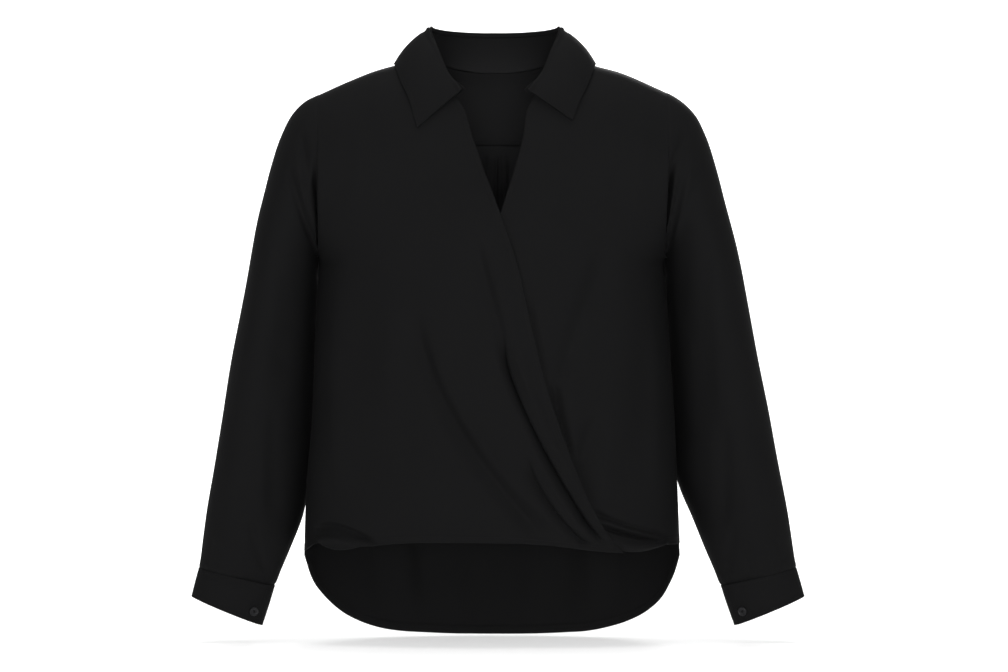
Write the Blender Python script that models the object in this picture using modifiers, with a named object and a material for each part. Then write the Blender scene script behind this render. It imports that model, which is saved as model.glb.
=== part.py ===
"""A blouse with a crossed front, a folded collar, long cuffed sleeves and a long curved back.

It keeps the hollow form it has when worn: neck, hem and cuffs are open.
Metres. +Z is up, -Y is the front, +X is the wearer's left. The origin is the middle of
the shoulder line, where the wearer's shoulders hold it up.
"""
from collections import namedtuple

import bmesh
import bpy
import numpy as np
from mathutils import Matrix, Vector

MM = 0.001

# Cloth and seams
CLOTH = 1.2 * MM
SEAM_GAP = 0.45 * MM
ARMHOLE_GAP = 0.9 * MM
UNDERARM_GAP = 1.5 * MM
NECK_GAP = 0.95 * MM

# Armhole: an upright oval on each side
ARM_MIDDLE = -138.5 * MM
ARM_DROP = 101.5 * MM
ARM_DEPTH = 72.0 * MM
UNDERARM = ARM_MIDDLE - ARM_DROP
ARM_STEP = 15

# Torso cut across at eight heights: reach to each side, depth before and behind, the depth
# that the armholes keep open at the sides, and how the outline rounds off towards the
# sides (over 1 is pointed, under 1 is full)
Section = namedtuple("Section", "height right left front back open rounding")
TORSO = [
    Section(-138.5, 218.5, 214.0, 98.0, 103.0, 72.0, 1.70),
    Section(-190.0, 219.0, 212.0, 109.0, 108.0, 62.0, 1.45),
    Section(-246.0, 220.0, 212.0, 117.0, 111.0, 36.0, 1.15),
    Section(-310.0, 223.0, 216.0, 120.5, 113.0, 10.0, 0.93),
    Section(-370.0, 225.5, 219.5, 122.0, 113.0, 0.0, 0.85),
    Section(-430.0, 227.5, 223.5, 122.0, 113.0, 0.0, 0.84),
    Section(-520.0, 235.0, 227.5, 121.0, 113.0, 0.0, 0.84),
    Section(-600.0, 238.0, 230.5, 118.0, 113.0, 0.0, 0.84),
    Section(-725.0, 236.0, 229.5, 112.0, 110.0, 0.0, 0.86),
]
SIDE_TURN = 12

# Shoulder line: height over the distance from the middle
Ridge = namedtuple("Ridge", "across height")
SHOULDER = [
    Ridge(0.0, 25.5),
    Ridge(42.0, 22.5),
    Ridge(84.0, 12.5),
    Ridge(125.0, -1.0),
    Ridge(156.0, -10.5),
    Ridge(186.0, -22.5),
    Ridge(218.5, -37.0),
    Ridge(245.0, -50.0),
]

# Cut edges of the two fronts, from the neck point down: place across and height
Edge = namedtuple("Edge", "across height")
OVER_EDGE = [
    Edge(-84.0, 12.5),
    Edge(-81.5, 3.0),
    Edge(-75.0, -13.0),
    Edge(-62.0, -29.0),
    Edge(-42.5, -45.0),
    Edge(-39.1, -61.3),
    Edge(-21.8, -113.5),
    Edge(5.1, -187.3),
    Edge(25.9, -248.5),
    Edge(39.3, -307.0),
    Edge(55.2, -374.1),
    Edge(67.3, -416.8),
    Edge(88.1, -477.8),
    Edge(104.1, -517.1),
    Edge(122.5, -557.6),
    Edge(141.0, -588.0),
    Edge(164.0, -612.0),
]
UNDER_EDGE = [
    Edge(84.0, 12.5),
    Edge(81.5, 3.0),
    Edge(75.0, -13.0),
    Edge(62.0, -29.0),
    Edge(43.2, -46.0),
    Edge(40.7, -71.2),
    Edge(28.4, -113.5),
    Edge(5.1, -187.3),
    Edge(-16.0, -248.5),
    Edge(-30.0, -307.0),
    Edge(-46.0, -374.1),
    Edge(-58.0, -416.8),
    Edge(-79.0, -477.8),
    Edge(-95.0, -517.1),
    Edge(-113.0, -557.6),
    Edge(-130.0, -600.0),
]

# Hems: place across and height
Hem = namedtuple("Hem", "across height")
OVER_HEM = [
    Hem(-238.0, -606.0),
    Hem(-210.0, -602.5),
    Hem(-174.0, -599.0),
    Hem(-146.0, -596.0),
    Hem(-38.0, -590.5),
    Hem(64.0, -593.8),
    Hem(125.0, -601.5),
    Hem(166.0, -605.0),
]
UNDER_HEM = [
    Hem(-140.0, -584.0),
    Hem(0.0, -582.0),
    Hem(110.0, -586.0),
    Hem(135.0, -592.0),
    Hem(160.0, -601.0),
    Hem(185.0, -604.5),
    Hem(210.0, -603.0),
    Hem(231.0, -600.0),
]
TAIL_HEM = [
    Hem(-237.0, -612.0),
    Hem(-233.0, -632.0),
    Hem(-218.0, -661.5),
    Hem(-204.0, -679.0),
    Hem(-189.0, -690.0),
    Hem(-159.0, -705.0),
    Hem(-129.0, -712.0),
    Hem(-83.0, -716.0),
    Hem(0.0, -718.0),
    Hem(83.0, -716.0),
    Hem(125.0, -712.0),
    Hem(155.0, -704.0),
    Hem(186.0, -690.0),
    Hem(204.0, -675.0),
    Hem(219.0, -652.0),
    Hem(226.0, -632.0),
    Hem(230.0, -612.0),
]

# Neck seam round the back half, and the seam under the yoke, in degrees over the shoulder
NeckSeam = namedtuple("NeckSeam", "across arch")
BACK_NECK = [
    NeckSeam(0.0, 36.5),
    NeckSeam(28.0, 35.2),
    NeckSeam(56.0, 29.5),
    NeckSeam(74.0, 18.5),
    NeckSeam(84.0, 0.0),
]
NECK_HALF = 84.0 * MM
YOKE_SEAM = 75.0
YOKE_SEAM_HALF_GAP = 0.09

# Box pleat in the middle of the back, under the yoke
PLEAT_HALF = 14.0 * MM
PLEAT_SIDE = 5.4 * MM
PLEAT_DEPTH = 5.0 * MM
PLEAT_TOP = -98.0 * MM
PLEAT_FULL = -130.0 * MM
PLEAT_END = -460.0 * MM

# Layers of the crossed front
LAYER_LIFT = 3.2 * MM
LAYER_SINK = 9.0 * MM
LIFT_NEAR = 30.0 * MM
LIFT_FAR = 70.0 * MM
SINK_OVER = 26.0 * MM
CROSSING_TOP = -130.0 * MM
CROSSING_FULL = -175.0 * MM

# Folds: start, middle and end as seen from the front, height over the cloth, half width
Fold = namedtuple("Fold", "x0 z0 x1 z1 x2 z2 rise width")
OVER_FOLDS = [
    Fold(-9.5, -236.0, 39.3, -423.0, 134.8, -588.0, -5.0, 8.0),
    Fold(8.0, -245.0, 52.0, -423.0, 138.0, -588.0, 2.2, 8.0),
    Fold(55.0, -527.0, 73.5, -554.0, 104.0, -584.0, -3.5, 6.5),
    Fold(-103.5, -307.0, -46.0, -450.0, 79.6, -588.0, -5.0, 13.0),
    Fold(-84.0, -320.0, -22.0, -450.0, 98.0, -580.0, 3.0, 13.0),
    Fold(-236.0, -593.0, -200.0, -586.0, -150.0, -596.0, 4.0, 6.0),
    Fold(-150.0, -220.0, -158.0, -380.0, -140.0, -560.0, -2.0, 22.0),
]
UNDER_FOLDS = [
    Fold(135.0, -227.0, 98.0, -330.0, 74.0, -405.0, -3.5, 14.0),
    Fold(128.0, -445.0, 112.0, -480.0, 100.0, -515.0, -3.0, 10.0),
    Fold(126.0, -545.0, 165.0, -562.0, 218.0, -576.0, -3.0, 8.0),
    Fold(126.0, -560.0, 165.0, -577.0, 228.0, -592.0, 8.0, 8.5),
    Fold(172.0, -230.0, 176.0, -360.0, 168.0, -520.0, -2.0, 20.0),
]
BACK_FOLDS = [
    Fold(-116.0, -190.0, -124.0, -400.0, -108.0, -650.0, -4.0, 16.0),
    Fold(98.0, -220.0, 110.0, -430.0, 122.0, -660.0, -4.5, 17.0),
    Fold(-48.0, -360.0, -40.0, -520.0, -52.0, -700.0, -2.5, 18.0),
    Fold(40.0, -420.0, 50.0, -560.0, 44.0, -705.0, -2.5, 16.0),
    Fold(168.0, -200.0, 160.0, -330.0, 166.0, -470.0, -2.5, 15.0),
    Fold(-170.0, -210.0, -162.0, -360.0, -170.0, -500.0, -2.5, 16.0),
]
SLEEVE_FOLDS = [
    Fold(-240.0, -93.0, -232.0, -140.0, -222.0, -215.0, -4.5, 7.0),
    Fold(-258.0, -128.0, -243.0, -172.0, -226.0, -232.0, -4.0, 6.5),
    Fold(-249.0, -110.0, -237.0, -158.0, -224.0, -224.0, 2.5, 6.0),
    Fold(-286.0, -210.0, -288.0, -330.0, -300.0, -450.0, -2.0, 14.0),
    Fold(-308.0, -575.0, -302.0, -602.0, -292.0, -632.0, -2.5, 7.0),
]

# Sleeve rings of the right arm: outer end, inner end and half the depth as seen from the
# front, how far the inner end lies back, and its least distance from the body's side
SleeveRing = namedtuple("SleeveRing", "outer_x outer_z inner_x inner_z depth inner_y clear")
SLEEVE = [
    SleeveRing(-236.0, -45.5, 0.0, -242.5, 71.5, 0.0, 4.0),
    SleeveRing(-252.5, -62.0, 0.0, -245.5, 71.0, 4.0, 5.0),
    SleeveRing(-267.0, -90.0, 0.0, -250.0, 70.5, 9.0, 4.5),
    SleeveRing(-279.0, -126.0, 0.0, -257.0, 70.0, 15.0, 2.5),
    SleeveRing(-290.5, -172.0, 0.0, -267.0, 69.0, 22.0, 0.5),
    SleeveRing(-300.0, -220.0, 0.0, -284.0, 68.5, 28.0, -0.6),
    SleeveRing(-309.0, -268.0, 0.0, -312.0, 68.0, 30.0, -1.2),
    SleeveRing(-319.0, -320.0, 0.0, -350.0, 67.0, 30.0, -1.2),
    SleeveRing(-331.0, -382.0, 0.0, -402.0, 65.0, 30.0, -1.2),
    SleeveRing(-342.0, -450.0, 0.0, -462.0, 61.0, 29.0, -1.2),
    SleeveRing(-351.0, -506.0, -223.0, -515.0, 57.0, 26.0, -0.8),
    SleeveRing(-359.5, -554.0, -241.0, -563.0, 51.0, 18.0, 0.0),
    SleeveRing(-365.0, -594.0, -258.5, -609.0, 42.0, 8.0, 0.0),
    SleeveRing(-368.0, -618.0, -270.0, -636.0, 33.0, 2.0, 0.0),
    SleeveRing(-370.0, -628.7, -275.5, -650.7, 27.5, 0.0, 0.0),
]
# How much further out the left arm hangs
Hang = namedtuple("Hang", "height out")
LEFT_ARM = [
    Hang(-40.0, -3.0),
    Hang(-120.0, -4.0),
    Hang(-190.0, -2.5),
    Hang(-270.0, 0.0),
    Hang(-420.0, 1.0),
    Hang(-500.0, 4.5),
    Hang(-570.0, 5.5),
    Hang(-625.0, 6.5),
    Hang(-700.0, 8.5),
]

# Cuffs: the seam ring and the open ring, and the overlap that the button closes
CUFF_RINGS = [
    SleeveRing(-370.1, -629.15, -275.6, -651.15, 27.5, 0.0, 0.0),
    SleeveRing(-374.5, -646.0, -283.0, -675.5, 27.0, 0.0, 0.0),
    SleeveRing(-379.0, -664.0, -291.0, -700.0, 26.5, 0.0, 0.0),
]
CUFF_UNDER_END = 112.0
CUFF_OVER_END = 512.0
CUFF_RISE_FROM = 370.0
CUFF_RISE_TO = 455.0
CUFF_LAYER = 2.0 * MM
CUFF_COLUMNS = 28

# Button on each cuff
BUTTON_TURN = 492.0
BUTTON_DOWN = 0.72
BUTTON_RADIUS = 5.7 * MM
BUTTON_THICK = 2.3 * MM
BUTTON_DISH = 0.5 * MM
BUTTON_RIM = 4.3 * MM
BUTTON_STAND = 0.8 * MM
HOLE_RADIUS = 0.75 * MM
HOLE_OUT = 1.35 * MM
BUTTON_SIDES = 20

# Collar, from the middle of the back to the front end: foot of the stand on the neck
# seam, crest of the fold, and outer edge of the leaf (arches behind count below zero)
Collar = namedtuple("Collar", "foot_x foot_arch crest_x crest_y crest_z edge_x edge_arch")
COLLAR = [
    Collar(0.0, -36.5, 0.0, 66.0, 43.0, 0.0, -44.0),
    Collar(14.0, -36.3, 16.0, 65.5, 43.0, 20.0, -44.0),
    Collar(19.4, -36.0, 23.0, 64.5, 43.1, 29.0, -43.7),
    Collar(36.7, -34.0, 42.0, 59.0, 43.6, 56.0, -42.0),
    Collar(60.4, -27.9, 66.0, 42.0, 45.0, 92.0, -33.0),
    Collar(74.6, -18.0, 78.0, 25.0, 46.2, 113.0, -17.0),
    Collar(84.0, 0.0, 84.0, 4.0, 46.8, 125.0, 0.0),
    Collar(82.8, 7.5, 82.6, -9.0, 41.5, 124.0, 12.0),
    Collar(81.0, 15.0, 79.5, -22.0, 34.0, 121.0, 24.0),
    Collar(76.0, 30.0, 71.0, -42.0, 18.0, 115.0, 38.0),
    Collar(62.5, 45.0, 59.0, -62.0, -11.0, 106.0, 50.0),
    Collar(42.5, 53.5, 41.0, -85.0, -36.0, 95.0, 66.0),
]
COLLAR_TIP_LEFT_ARCH = 61.5
LEAF_LIFT = 2.2 * MM
LEAF_BULGE = 4.0 * MM
STAND_BELOW_CREST = 4.5 * MM
STAND_INSIDE = 1.5 * MM

# Columns of the grids
FRONT_COLUMNS = 24
FRONT_ROWS_BELOW = 14
BACK_ROWS_BELOW = 13
BACK_COLUMNS = [0.0, 14.0, 19.4, 36.7, 60.4, 74.6, 84.0, 108.0, 134.0, 158.0, 179.0, 196.0, 208.0]

BLACK_CREPE = (0.0105, 0.0105, 0.0118, 1.0)
BLACK_BUTTON = (0.016, 0.016, 0.017, 1.0)


def column(rows, name):
    """One named column of a table as an array."""
    return np.array([getattr(row, name) for row in rows], dtype=float)


def smooth(at, knots, values):
    """Smooth curve through the values given at the knots."""
    slopes = np.gradient(values, knots)
    at = np.clip(np.asarray(at, dtype=float), knots[0], knots[-1])
    left = np.clip(np.searchsorted(knots, at, side="right") - 1, 0, len(knots) - 2)
    step = knots[left + 1] - knots[left]
    t = (at - knots[left]) / step
    rest = 1 - t
    start = values[left] * (1 + 2 * t) * rest**2 + slopes[left] * step * t * rest**2
    end = values[left + 1] * (3 - 2 * t) * t**2 - slopes[left + 1] * step * rest * t**2
    return start + end


def ease(value):
    """Goes gently from 0 to 1 as the value does."""
    value = np.clip(value, 0.0, 1.0)
    return value * value * (3 - 2 * value)


def shoulder_height(x):
    return smooth(np.abs(x), column(SHOULDER, "across") * MM, column(SHOULDER, "height") * MM)


def torso_value(name, height):
    """One measure of the torso at a height."""
    knots = -column(TORSO, "height") * MM
    scale = 1.0 if name == "rounding" else MM
    return smooth(-height, knots, column(TORSO, name) * scale)


def torso_point(side, turn, arch, height):
    """A point of the body: side -1 is the front, turn runs from seam to seam in radians,
    arch climbs over the shoulder (0 on the shoulder line, a right angle from there down)."""
    turn, arch, height = np.broadcast_arrays(turn, arch, height)
    level = np.minimum(height, ARM_MIDDLE)
    right = torso_value("right", level)
    left = torso_value("left", level)
    deep = torso_value("front" if side < 0 else "back", level)
    rounding = torso_value("rounding", level)
    x = (left - right) / 2 + (left + right) / 2 * np.sin(turn)
    over = ARM_MIDDLE + (shoulder_height(x) - ARM_MIDDLE) * np.cos(arch)
    z = np.where(arch < np.pi / 2 - 1e-6, over, height)
    drop = np.clip((ARM_MIDDLE - level) / ARM_DROP, 0.0, 1.0)
    at_arm = ARM_DEPTH * np.sqrt(1 - drop**2)
    kept = torso_value("open", level)
    cosine = np.clip(np.cos(turn), 0.0, 1.0)
    at_side = np.abs(np.sin(turn))**SIDE_TURN
    depth = kept + (deep - kept) * cosine**rounding + (at_arm - kept) * at_side
    y = side * (SEAM_GAP / 2 + depth * np.sin(arch))
    return np.stack([x, y, z], axis=-1)


def turn_at(x, height):
    """The turn that brings the body to this place across."""
    level = np.minimum(height, ARM_MIDDLE)
    right = torso_value("right", level)
    left = torso_value("left", level)
    share = (x - (left - right) / 2) / ((left + right) / 2)
    return np.arcsin(np.clip(share, -1.0, 1.0))


def arch_of(x, z):
    """How far over the shoulder a place seen from the front is, in radians."""
    share = (z - ARM_MIDDLE) / (shoulder_height(x) - ARM_MIDDLE)
    return np.arccos(np.clip(share, 0.0, 1.0))


def edge_place(edge, arch, height):
    """Where a cut edge crosses a row, across the body."""
    order = np.arange(len(edge), dtype=float)
    fine = np.linspace(0, len(edge) - 1, 500)
    x = smooth(fine, order, column(edge, "across") * MM)
    z = smooth(fine, order, column(edge, "height") * MM)
    row = np.where(z > ARM_MIDDLE, arch_of(x, z), np.pi / 2 + (ARM_MIDDLE - z) * 10)
    wanted = np.where(height > ARM_MIDDLE, arch, arch + (ARM_MIDDLE - height) * 10)
    return np.interp(wanted, row, x)


def fold_relief(folds, x, z):
    """How far the folds move the cloth in or out at places seen from the front."""
    relief = np.zeros_like(x)
    t = np.linspace(0, 1, 33)
    for fold in folds:
        bend_x = 2 * fold.x1 - (fold.x0 + fold.x2) / 2
        bend_z = 2 * fold.z1 - (fold.z0 + fold.z2) / 2
        curve_x = ((1 - t)**2 * fold.x0 + 2 * t * (1 - t) * bend_x + t**2 * fold.x2) * MM
        curve_z = ((1 - t)**2 * fold.z0 + 2 * t * (1 - t) * bend_z + t**2 * fold.z2) * MM
        away = np.hypot(x[..., None] - curve_x, z[..., None] - curve_z)
        nearest = away.min(axis=-1)
        along = t[away.argmin(axis=-1)]
        taper = ease(along / 0.25 + 0.1) * ease((1 - along) / 0.12 + 0.25)
        relief += fold.rise * MM * taper * np.exp(-(nearest / (fold.width * MM))**2)
    return relief


def normals(points, side):
    """Directions out of a grid of points, for the front (side -1) or back."""
    down, across = np.gradient(points, axis=(0, 1))
    out = np.cross(across, down)
    out /= np.linalg.norm(out, axis=-1, keepdims=True) + 1e-12
    middle = out[len(out) // 2, out.shape[1] // 2]
    if middle[1] * side < 0:
        out = -out
    return out


def body_rows(first, below, hem):
    """Arches and heights of the rows, as functions of the place across."""
    degrees = np.arange(first, 181, ARM_STEP)
    rows = []
    for degree in degrees:
        angle = np.radians(degree)
        arch = min(angle, np.pi / 2)
        height = ARM_MIDDLE - ARM_DROP * abs(np.cos(angle)) if degree > 90 else ARM_MIDDLE
        if degree < 90:
            height = ARM_MIDDLE + 1.0
        rows.append((arch, height, 0.0))
    for number in range(1, below + 1):
        rows.append((np.pi / 2, UNDERARM, number / below))
    hem_x = column(hem, "across") * MM
    hem_z = column(hem, "height") * MM

    def height_at(row, x):
        arch, height, share = rows[row]
        return height + share * (smooth(x, hem_x, hem_z) - UNDERARM)

    return rows, height_at


def front_grid(edge, hem, outer_side, crowd, columns):
    """Grid of one front, from its side seam and armhole to its free edge."""
    rows, height_at = body_rows(0, FRONT_ROWS_BELOW, hem)
    share = np.linspace(0, 1, columns + 1)
    share = share + crowd * share * (1 - share)
    grid = np.zeros((len(rows), columns + 1, 3))
    for number, (arch, height, _) in enumerate(rows):
        x = edge_place(edge, arch, min(height, 1.0))
        for _ in range(4):
            level = height_at(number, x)
            x = edge_place(edge, arch, level)
        last = turn_at(x, level)
        turn = outer_side * np.pi / 2 + (last - outer_side * np.pi / 2) * share
        across = torso_point(-1, turn, arch, level)[..., 0]
        for _ in range(2):
            level = height_at(number, across)
            across = torso_point(-1, turn, arch, level)[..., 0]
        grid[number] = torso_point(-1, turn, arch, level)
    return grid


def side_fade(grid):
    """Folds die out towards the side seams and the shoulder line."""
    height = np.minimum(grid[..., 2], ARM_MIDDLE)
    turn = turn_at(grid[..., 0], height)
    return ease((np.pi / 2 - np.abs(turn)) / 0.30)


def past_edge(grid):
    """How far a place lies beyond the free edge of the upper front."""
    z = np.minimum(grid[..., 2], ARM_MIDDLE)
    edge_x = edge_place(OVER_EDGE, np.full_like(z, np.pi / 2), z)
    return grid[..., 0] - edge_x


def front_over_points():
    grid = front_grid(OVER_EDGE, OVER_HEM, -1, 0.45, FRONT_COLUMNS + 2)
    inside = -past_edge(grid)
    crossing = ease((CROSSING_TOP - grid[..., 2]) / (CROSSING_TOP - CROSSING_FULL))
    lift = LAYER_LIFT * ease((LIFT_FAR - inside) / (LIFT_FAR - LIFT_NEAR)) * crossing
    folds = fold_relief(OVER_FOLDS, grid[..., 0], grid[..., 2]) * side_fade(grid)
    return grid + normals(grid, -1) * (lift + folds)[..., None]


def front_under_points():
    grid = front_grid(UNDER_EDGE, UNDER_HEM, 1, -0.25, FRONT_COLUMNS)
    beyond = past_edge(grid)
    below = ease((-160 * MM - grid[..., 2]) / (25 * MM))
    sink = -LAYER_SINK * ease(-beyond / SINK_OVER) * below
    shown = ease((beyond - 5 * MM) / (15 * MM))
    folds = fold_relief(UNDER_FOLDS, grid[..., 0], grid[..., 2]) * side_fade(grid) * shown
    return grid + normals(grid, -1) * (sink + folds)[..., None]


def back_turns():
    """Turns of the columns of the back and yoke, from armhole to armhole."""
    places = np.array(BACK_COLUMNS) * MM
    turns = turn_at(np.concatenate([-places[:0:-1], places]), ARM_MIDDLE)
    return np.concatenate([[-np.pi / 2], turns, [np.pi / 2]])


def back_points():
    """Back below the yoke, with its pleat and long tail."""
    rows, height_at = body_rows(90, BACK_ROWS_BELOW, TAIL_HEM)
    turn = back_turns()
    top = torso_point(1, turn, np.radians(YOKE_SEAM + YOKE_SEAM_HALF_GAP), ARM_MIDDLE)
    grid = [top]
    for number, (arch, height, _) in enumerate(rows):
        across = torso_point(1, turn, arch, height)[..., 0]
        for _ in range(3):
            level = height_at(number, across)
            across = torso_point(1, turn, arch, level)[..., 0]
        grid.append(torso_point(1, turn, arch, level))
    grid = np.array(grid)
    x, z = grid[..., 0], grid[..., 2]
    folds = fold_relief(BACK_FOLDS, x, z) * side_fade(grid)
    rise = ease((PLEAT_TOP - z) / (PLEAT_TOP - PLEAT_FULL)) * ease((z - PLEAT_END) / 0.25)
    from_middle = np.abs(grid[:1, :, 0])
    pleat = PLEAT_DEPTH * rise * ease((PLEAT_HALF + PLEAT_SIDE - from_middle) / PLEAT_SIDE)
    return grid + normals(grid, 1) * (folds + pleat)[..., None]


def back_neck_arch(x):
    arch = smooth(np.abs(x), column(BACK_NECK, "across") * MM, column(BACK_NECK, "arch"))
    return np.radians(np.where(np.abs(x) >= NECK_HALF - 1e-5, 0.0, np.clip(arch, 0, 90)))


def yoke_points():
    turn = back_turns()
    low = np.radians(YOKE_SEAM - YOKE_SEAM_HALF_GAP)
    across = torso_point(1, turn, low, ARM_MIDDLE)[..., 0]
    high = back_neck_arch(across)
    steps = np.radians(np.arange(0, YOKE_SEAM + 1, ARM_STEP)) / np.radians(YOKE_SEAM)
    return np.array([torso_point(1, turn, high + (low - high) * step, ARM_MIDDLE)
                     for step in steps])


def collar_lines():
    """Foot, crest and outer edge of the collar from the right end round to the left end,
    with the directions up the stand and out of the neck."""
    feet, crests, edges = [], [], []
    for number, row in enumerate(COLLAR):
        for side in (-1, 1):
            if number == 0 and side == 1:
                continue
            behind = 1 if row.foot_arch < 0 else -1
            foot_arch = np.radians(abs(row.foot_arch))
            foot_x = row.foot_x * MM * side
            if behind < 0 < row.foot_arch:
                edge = OVER_EDGE if side < 0 else UNDER_EDGE
                foot_x = float(edge_place(edge, foot_arch, ARM_MIDDLE + 1.0))
            foot = torso_point(behind, turn_at(foot_x, ARM_MIDDLE), foot_arch, ARM_MIDDLE)
            arch = row.edge_arch
            if side > 0 and number == len(COLLAR) - 1:
                arch = COLLAR_TIP_LEFT_ARCH
            turn = turn_at(row.edge_x * MM * side, ARM_MIDDLE)
            around = 1 if arch < 0 else -1
            place = torso_point(around, turn, np.radians(abs(arch)), ARM_MIDDLE)
            near = torso_point(around, turn, np.radians(abs(arch) + 0.5), ARM_MIDDLE)
            beside = torso_point(around, turn + 0.01, np.radians(abs(arch)), ARM_MIDDLE)
            out = np.cross(beside - place, near - place)
            out /= np.linalg.norm(out)
            if out[2] < 0 or (abs(arch) > 60 and out[1] * around < 0):
                out = -out
            crest = np.array([row.crest_x * side, row.crest_y, row.crest_z]) * MM
            order = side * number
            feet.append((order, foot))
            crests.append((order, crest))
            edges.append((order, place + out * LEAF_LIFT))
    lines = []
    for line in (feet, crests, edges):
        line.sort(key=lambda pair: pair[0])
        lines.append(np.array([point for _, point in line]))
    feet, crests, edges = lines
    along = np.gradient(crests, axis=0)
    along /= np.linalg.norm(along, axis=1, keepdims=True)
    up = crests - feet
    up -= along * np.sum(up * along, axis=1, keepdims=True)
    up /= np.linalg.norm(up, axis=1, keepdims=True)
    out = np.cross(up, along)
    out *= np.sign(np.sum(out * (edges - crests), axis=1, keepdims=True))
    return feet, crests, edges, up, out


def stand_points():
    feet, crests, _, up, out = collar_lines()
    top = crests - up * STAND_BELOW_CREST - out * STAND_INSIDE
    rise = top - feet
    length = np.linalg.norm(rise, axis=1, keepdims=True)
    bottom = feet + rise / length * NECK_GAP
    steps = [0.0, 0.35, 0.7, 1.0]
    bow = 0.5 * MM
    return np.array([bottom + (top - bottom) * step + out * bow * np.sin(np.pi * step)
                     for step in steps])


def leaf_points():
    _, crests, edges, up, out = collar_lines()
    Bend = namedtuple("Bend", "up out")
    bends = [
        Bend(-4.0, -1.5),
        Bend(-2.0, -1.5),
        Bend(-0.6, -1.1),
        Bend(0.0, 0.0),
        Bend(-0.7, 1.2),
        Bend(-2.3, 1.8),
    ]
    rows = [crests + up * bend.up * MM + out * bend.out * MM for bend in bends]
    start = rows[-1]
    for step in (0.18, 0.38, 0.58, 0.79, 1.0):
        puff = (out * 0.8 + up * 0.6) * LEAF_BULGE * np.sin(np.pi * step)
        rows.append(start + (edges - start) * step + puff)
    return np.array(rows)


def left_out(height):
    knots = -column(LEFT_ARM, "height") * MM
    return smooth(-height, knots, column(LEFT_ARM, "out") * MM)


def ring_ends(row, side):
    """Outer and inner end of a ring, the inner one just clear of the side of the body."""
    outer = np.array([row.outer_x, 0.0, row.outer_z]) * MM
    inner = np.array([row.inner_x, row.inner_y, row.inner_z]) * MM
    outer[0] *= -side
    inner[0] *= -side
    body = torso_value("right" if side < 0 else "left", inner[2])
    if side > 0:
        outer[0] += left_out(outer[2])
        inner[0] += left_out(inner[2])
    if abs(inner[0]) < body + row.clear * MM:
        inner[0] = side * (body + row.clear * MM)
    return outer, inner


def ring_points(row, turns, side):
    """A ring of a sleeve or cuff, turned from its outer end over the front."""
    outer, inner = ring_ends(row, side)
    middle = (outer + inner) / 2
    turns = np.asarray(turns)[:, None]
    forward = np.array([0, -row.depth * MM, 0])
    return middle + (outer - middle) * np.cos(turns) + forward * np.sin(turns)


def armhole_ring(side):
    """Where the sleeve starts: the armhole of the body, moved out by the seam."""
    degrees = np.arange(0, 360, ARM_STEP)
    ring = []
    for degree in degrees:
        around = -1 if degree <= 180 else 1
        angle = np.radians(degree if degree <= 180 else 360 - degree)
        arch = min(angle, np.pi / 2)
        height = ARM_MIDDLE + 1.0 if angle < np.pi / 2 - 1e-6 else ARM_MIDDLE + ARM_DROP * np.cos(angle)
        point = torso_point(around, side * np.pi / 2, arch, height)
        if degree in (0, 180):
            point[1] = 0.0
        low = ease(-np.cos(angle))
        point[0] += side * (ARMHOLE_GAP + (UNDERARM_GAP - ARMHOLE_GAP) * low)
        ring.append(point)
    return np.array(ring)


def sleeve_points(side):
    turns = np.radians(np.arange(0, 360, ARM_STEP))
    first = armhole_ring(side)
    rings = [ring_points(row, turns, side) for row in SLEEVE]
    grid = np.array(rings)
    down, around = np.gradient(grid, axis=(0, 1))
    out = np.cross(around, down)
    out /= np.linalg.norm(out, axis=-1, keepdims=True) + 1e-12
    centre = grid.mean(axis=1, keepdims=True)
    out *= np.sign(np.sum(out * (grid - centre), axis=-1, keepdims=True))
    relief = fold_relief(SLEEVE_FOLDS, -np.abs(grid[..., 0]), grid[..., 2])
    behind = grid[..., 1] > 0
    relief = np.where(behind, relief * 0.75, relief)
    last = ease((len(SLEEVE) - 1 - np.arange(len(SLEEVE))) / 2.0)[:, None]
    grid = grid + out * (relief * last)[..., None]
    return np.concatenate([first[None], grid])


def cuff_points(side):
    return cuff_grid(np.linspace(CUFF_UNDER_END, CUFF_OVER_END, CUFF_COLUMNS + 1), side)


def cuff_grid(degrees, side):
    """The band of a cuff: it passes over its own start, where the button is."""
    turns = np.radians(degrees)
    rise = CUFF_LAYER * ease((degrees - CUFF_RISE_FROM) / (CUFF_RISE_TO - CUFF_RISE_FROM))
    rows = []
    for row in CUFF_RINGS:
        ring = ring_points(row, turns, side)
        ahead = ring_points(row, turns + 0.01, side) - ring_points(row, turns - 0.01, side)
        outer, inner = ring_ends(row, side)
        axis = np.cross(np.array([0, -1.0, 0]), outer - inner)
        out = np.cross(ahead, axis)
        out /= np.linalg.norm(out, axis=1, keepdims=True)
        centre = (outer + inner) / 2
        out *= np.sign(np.sum(out * (ring - centre), axis=1, keepdims=True))
        rows.append(ring + out * rise[:, None])
    return np.array(rows)


def button_frame(side):
    """Place and direction of a cuff button."""
    near = cuff_grid(np.array([BUTTON_TURN - 4, BUTTON_TURN, BUTTON_TURN + 4]), side)
    row = BUTTON_DOWN * (len(CUFF_RINGS) - 1)
    low = int(row)
    line = near[low] + (near[low + 1] - near[low]) * (row - low)
    along = near[low + 1, 1] - near[low, 1]
    across = line[2] - line[0]
    out = np.cross(across, along)
    out /= np.linalg.norm(out)
    if out[1] > 0:
        out = -out
    return Vector(line[1]), Vector(out), Vector(along).normalized()


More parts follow.
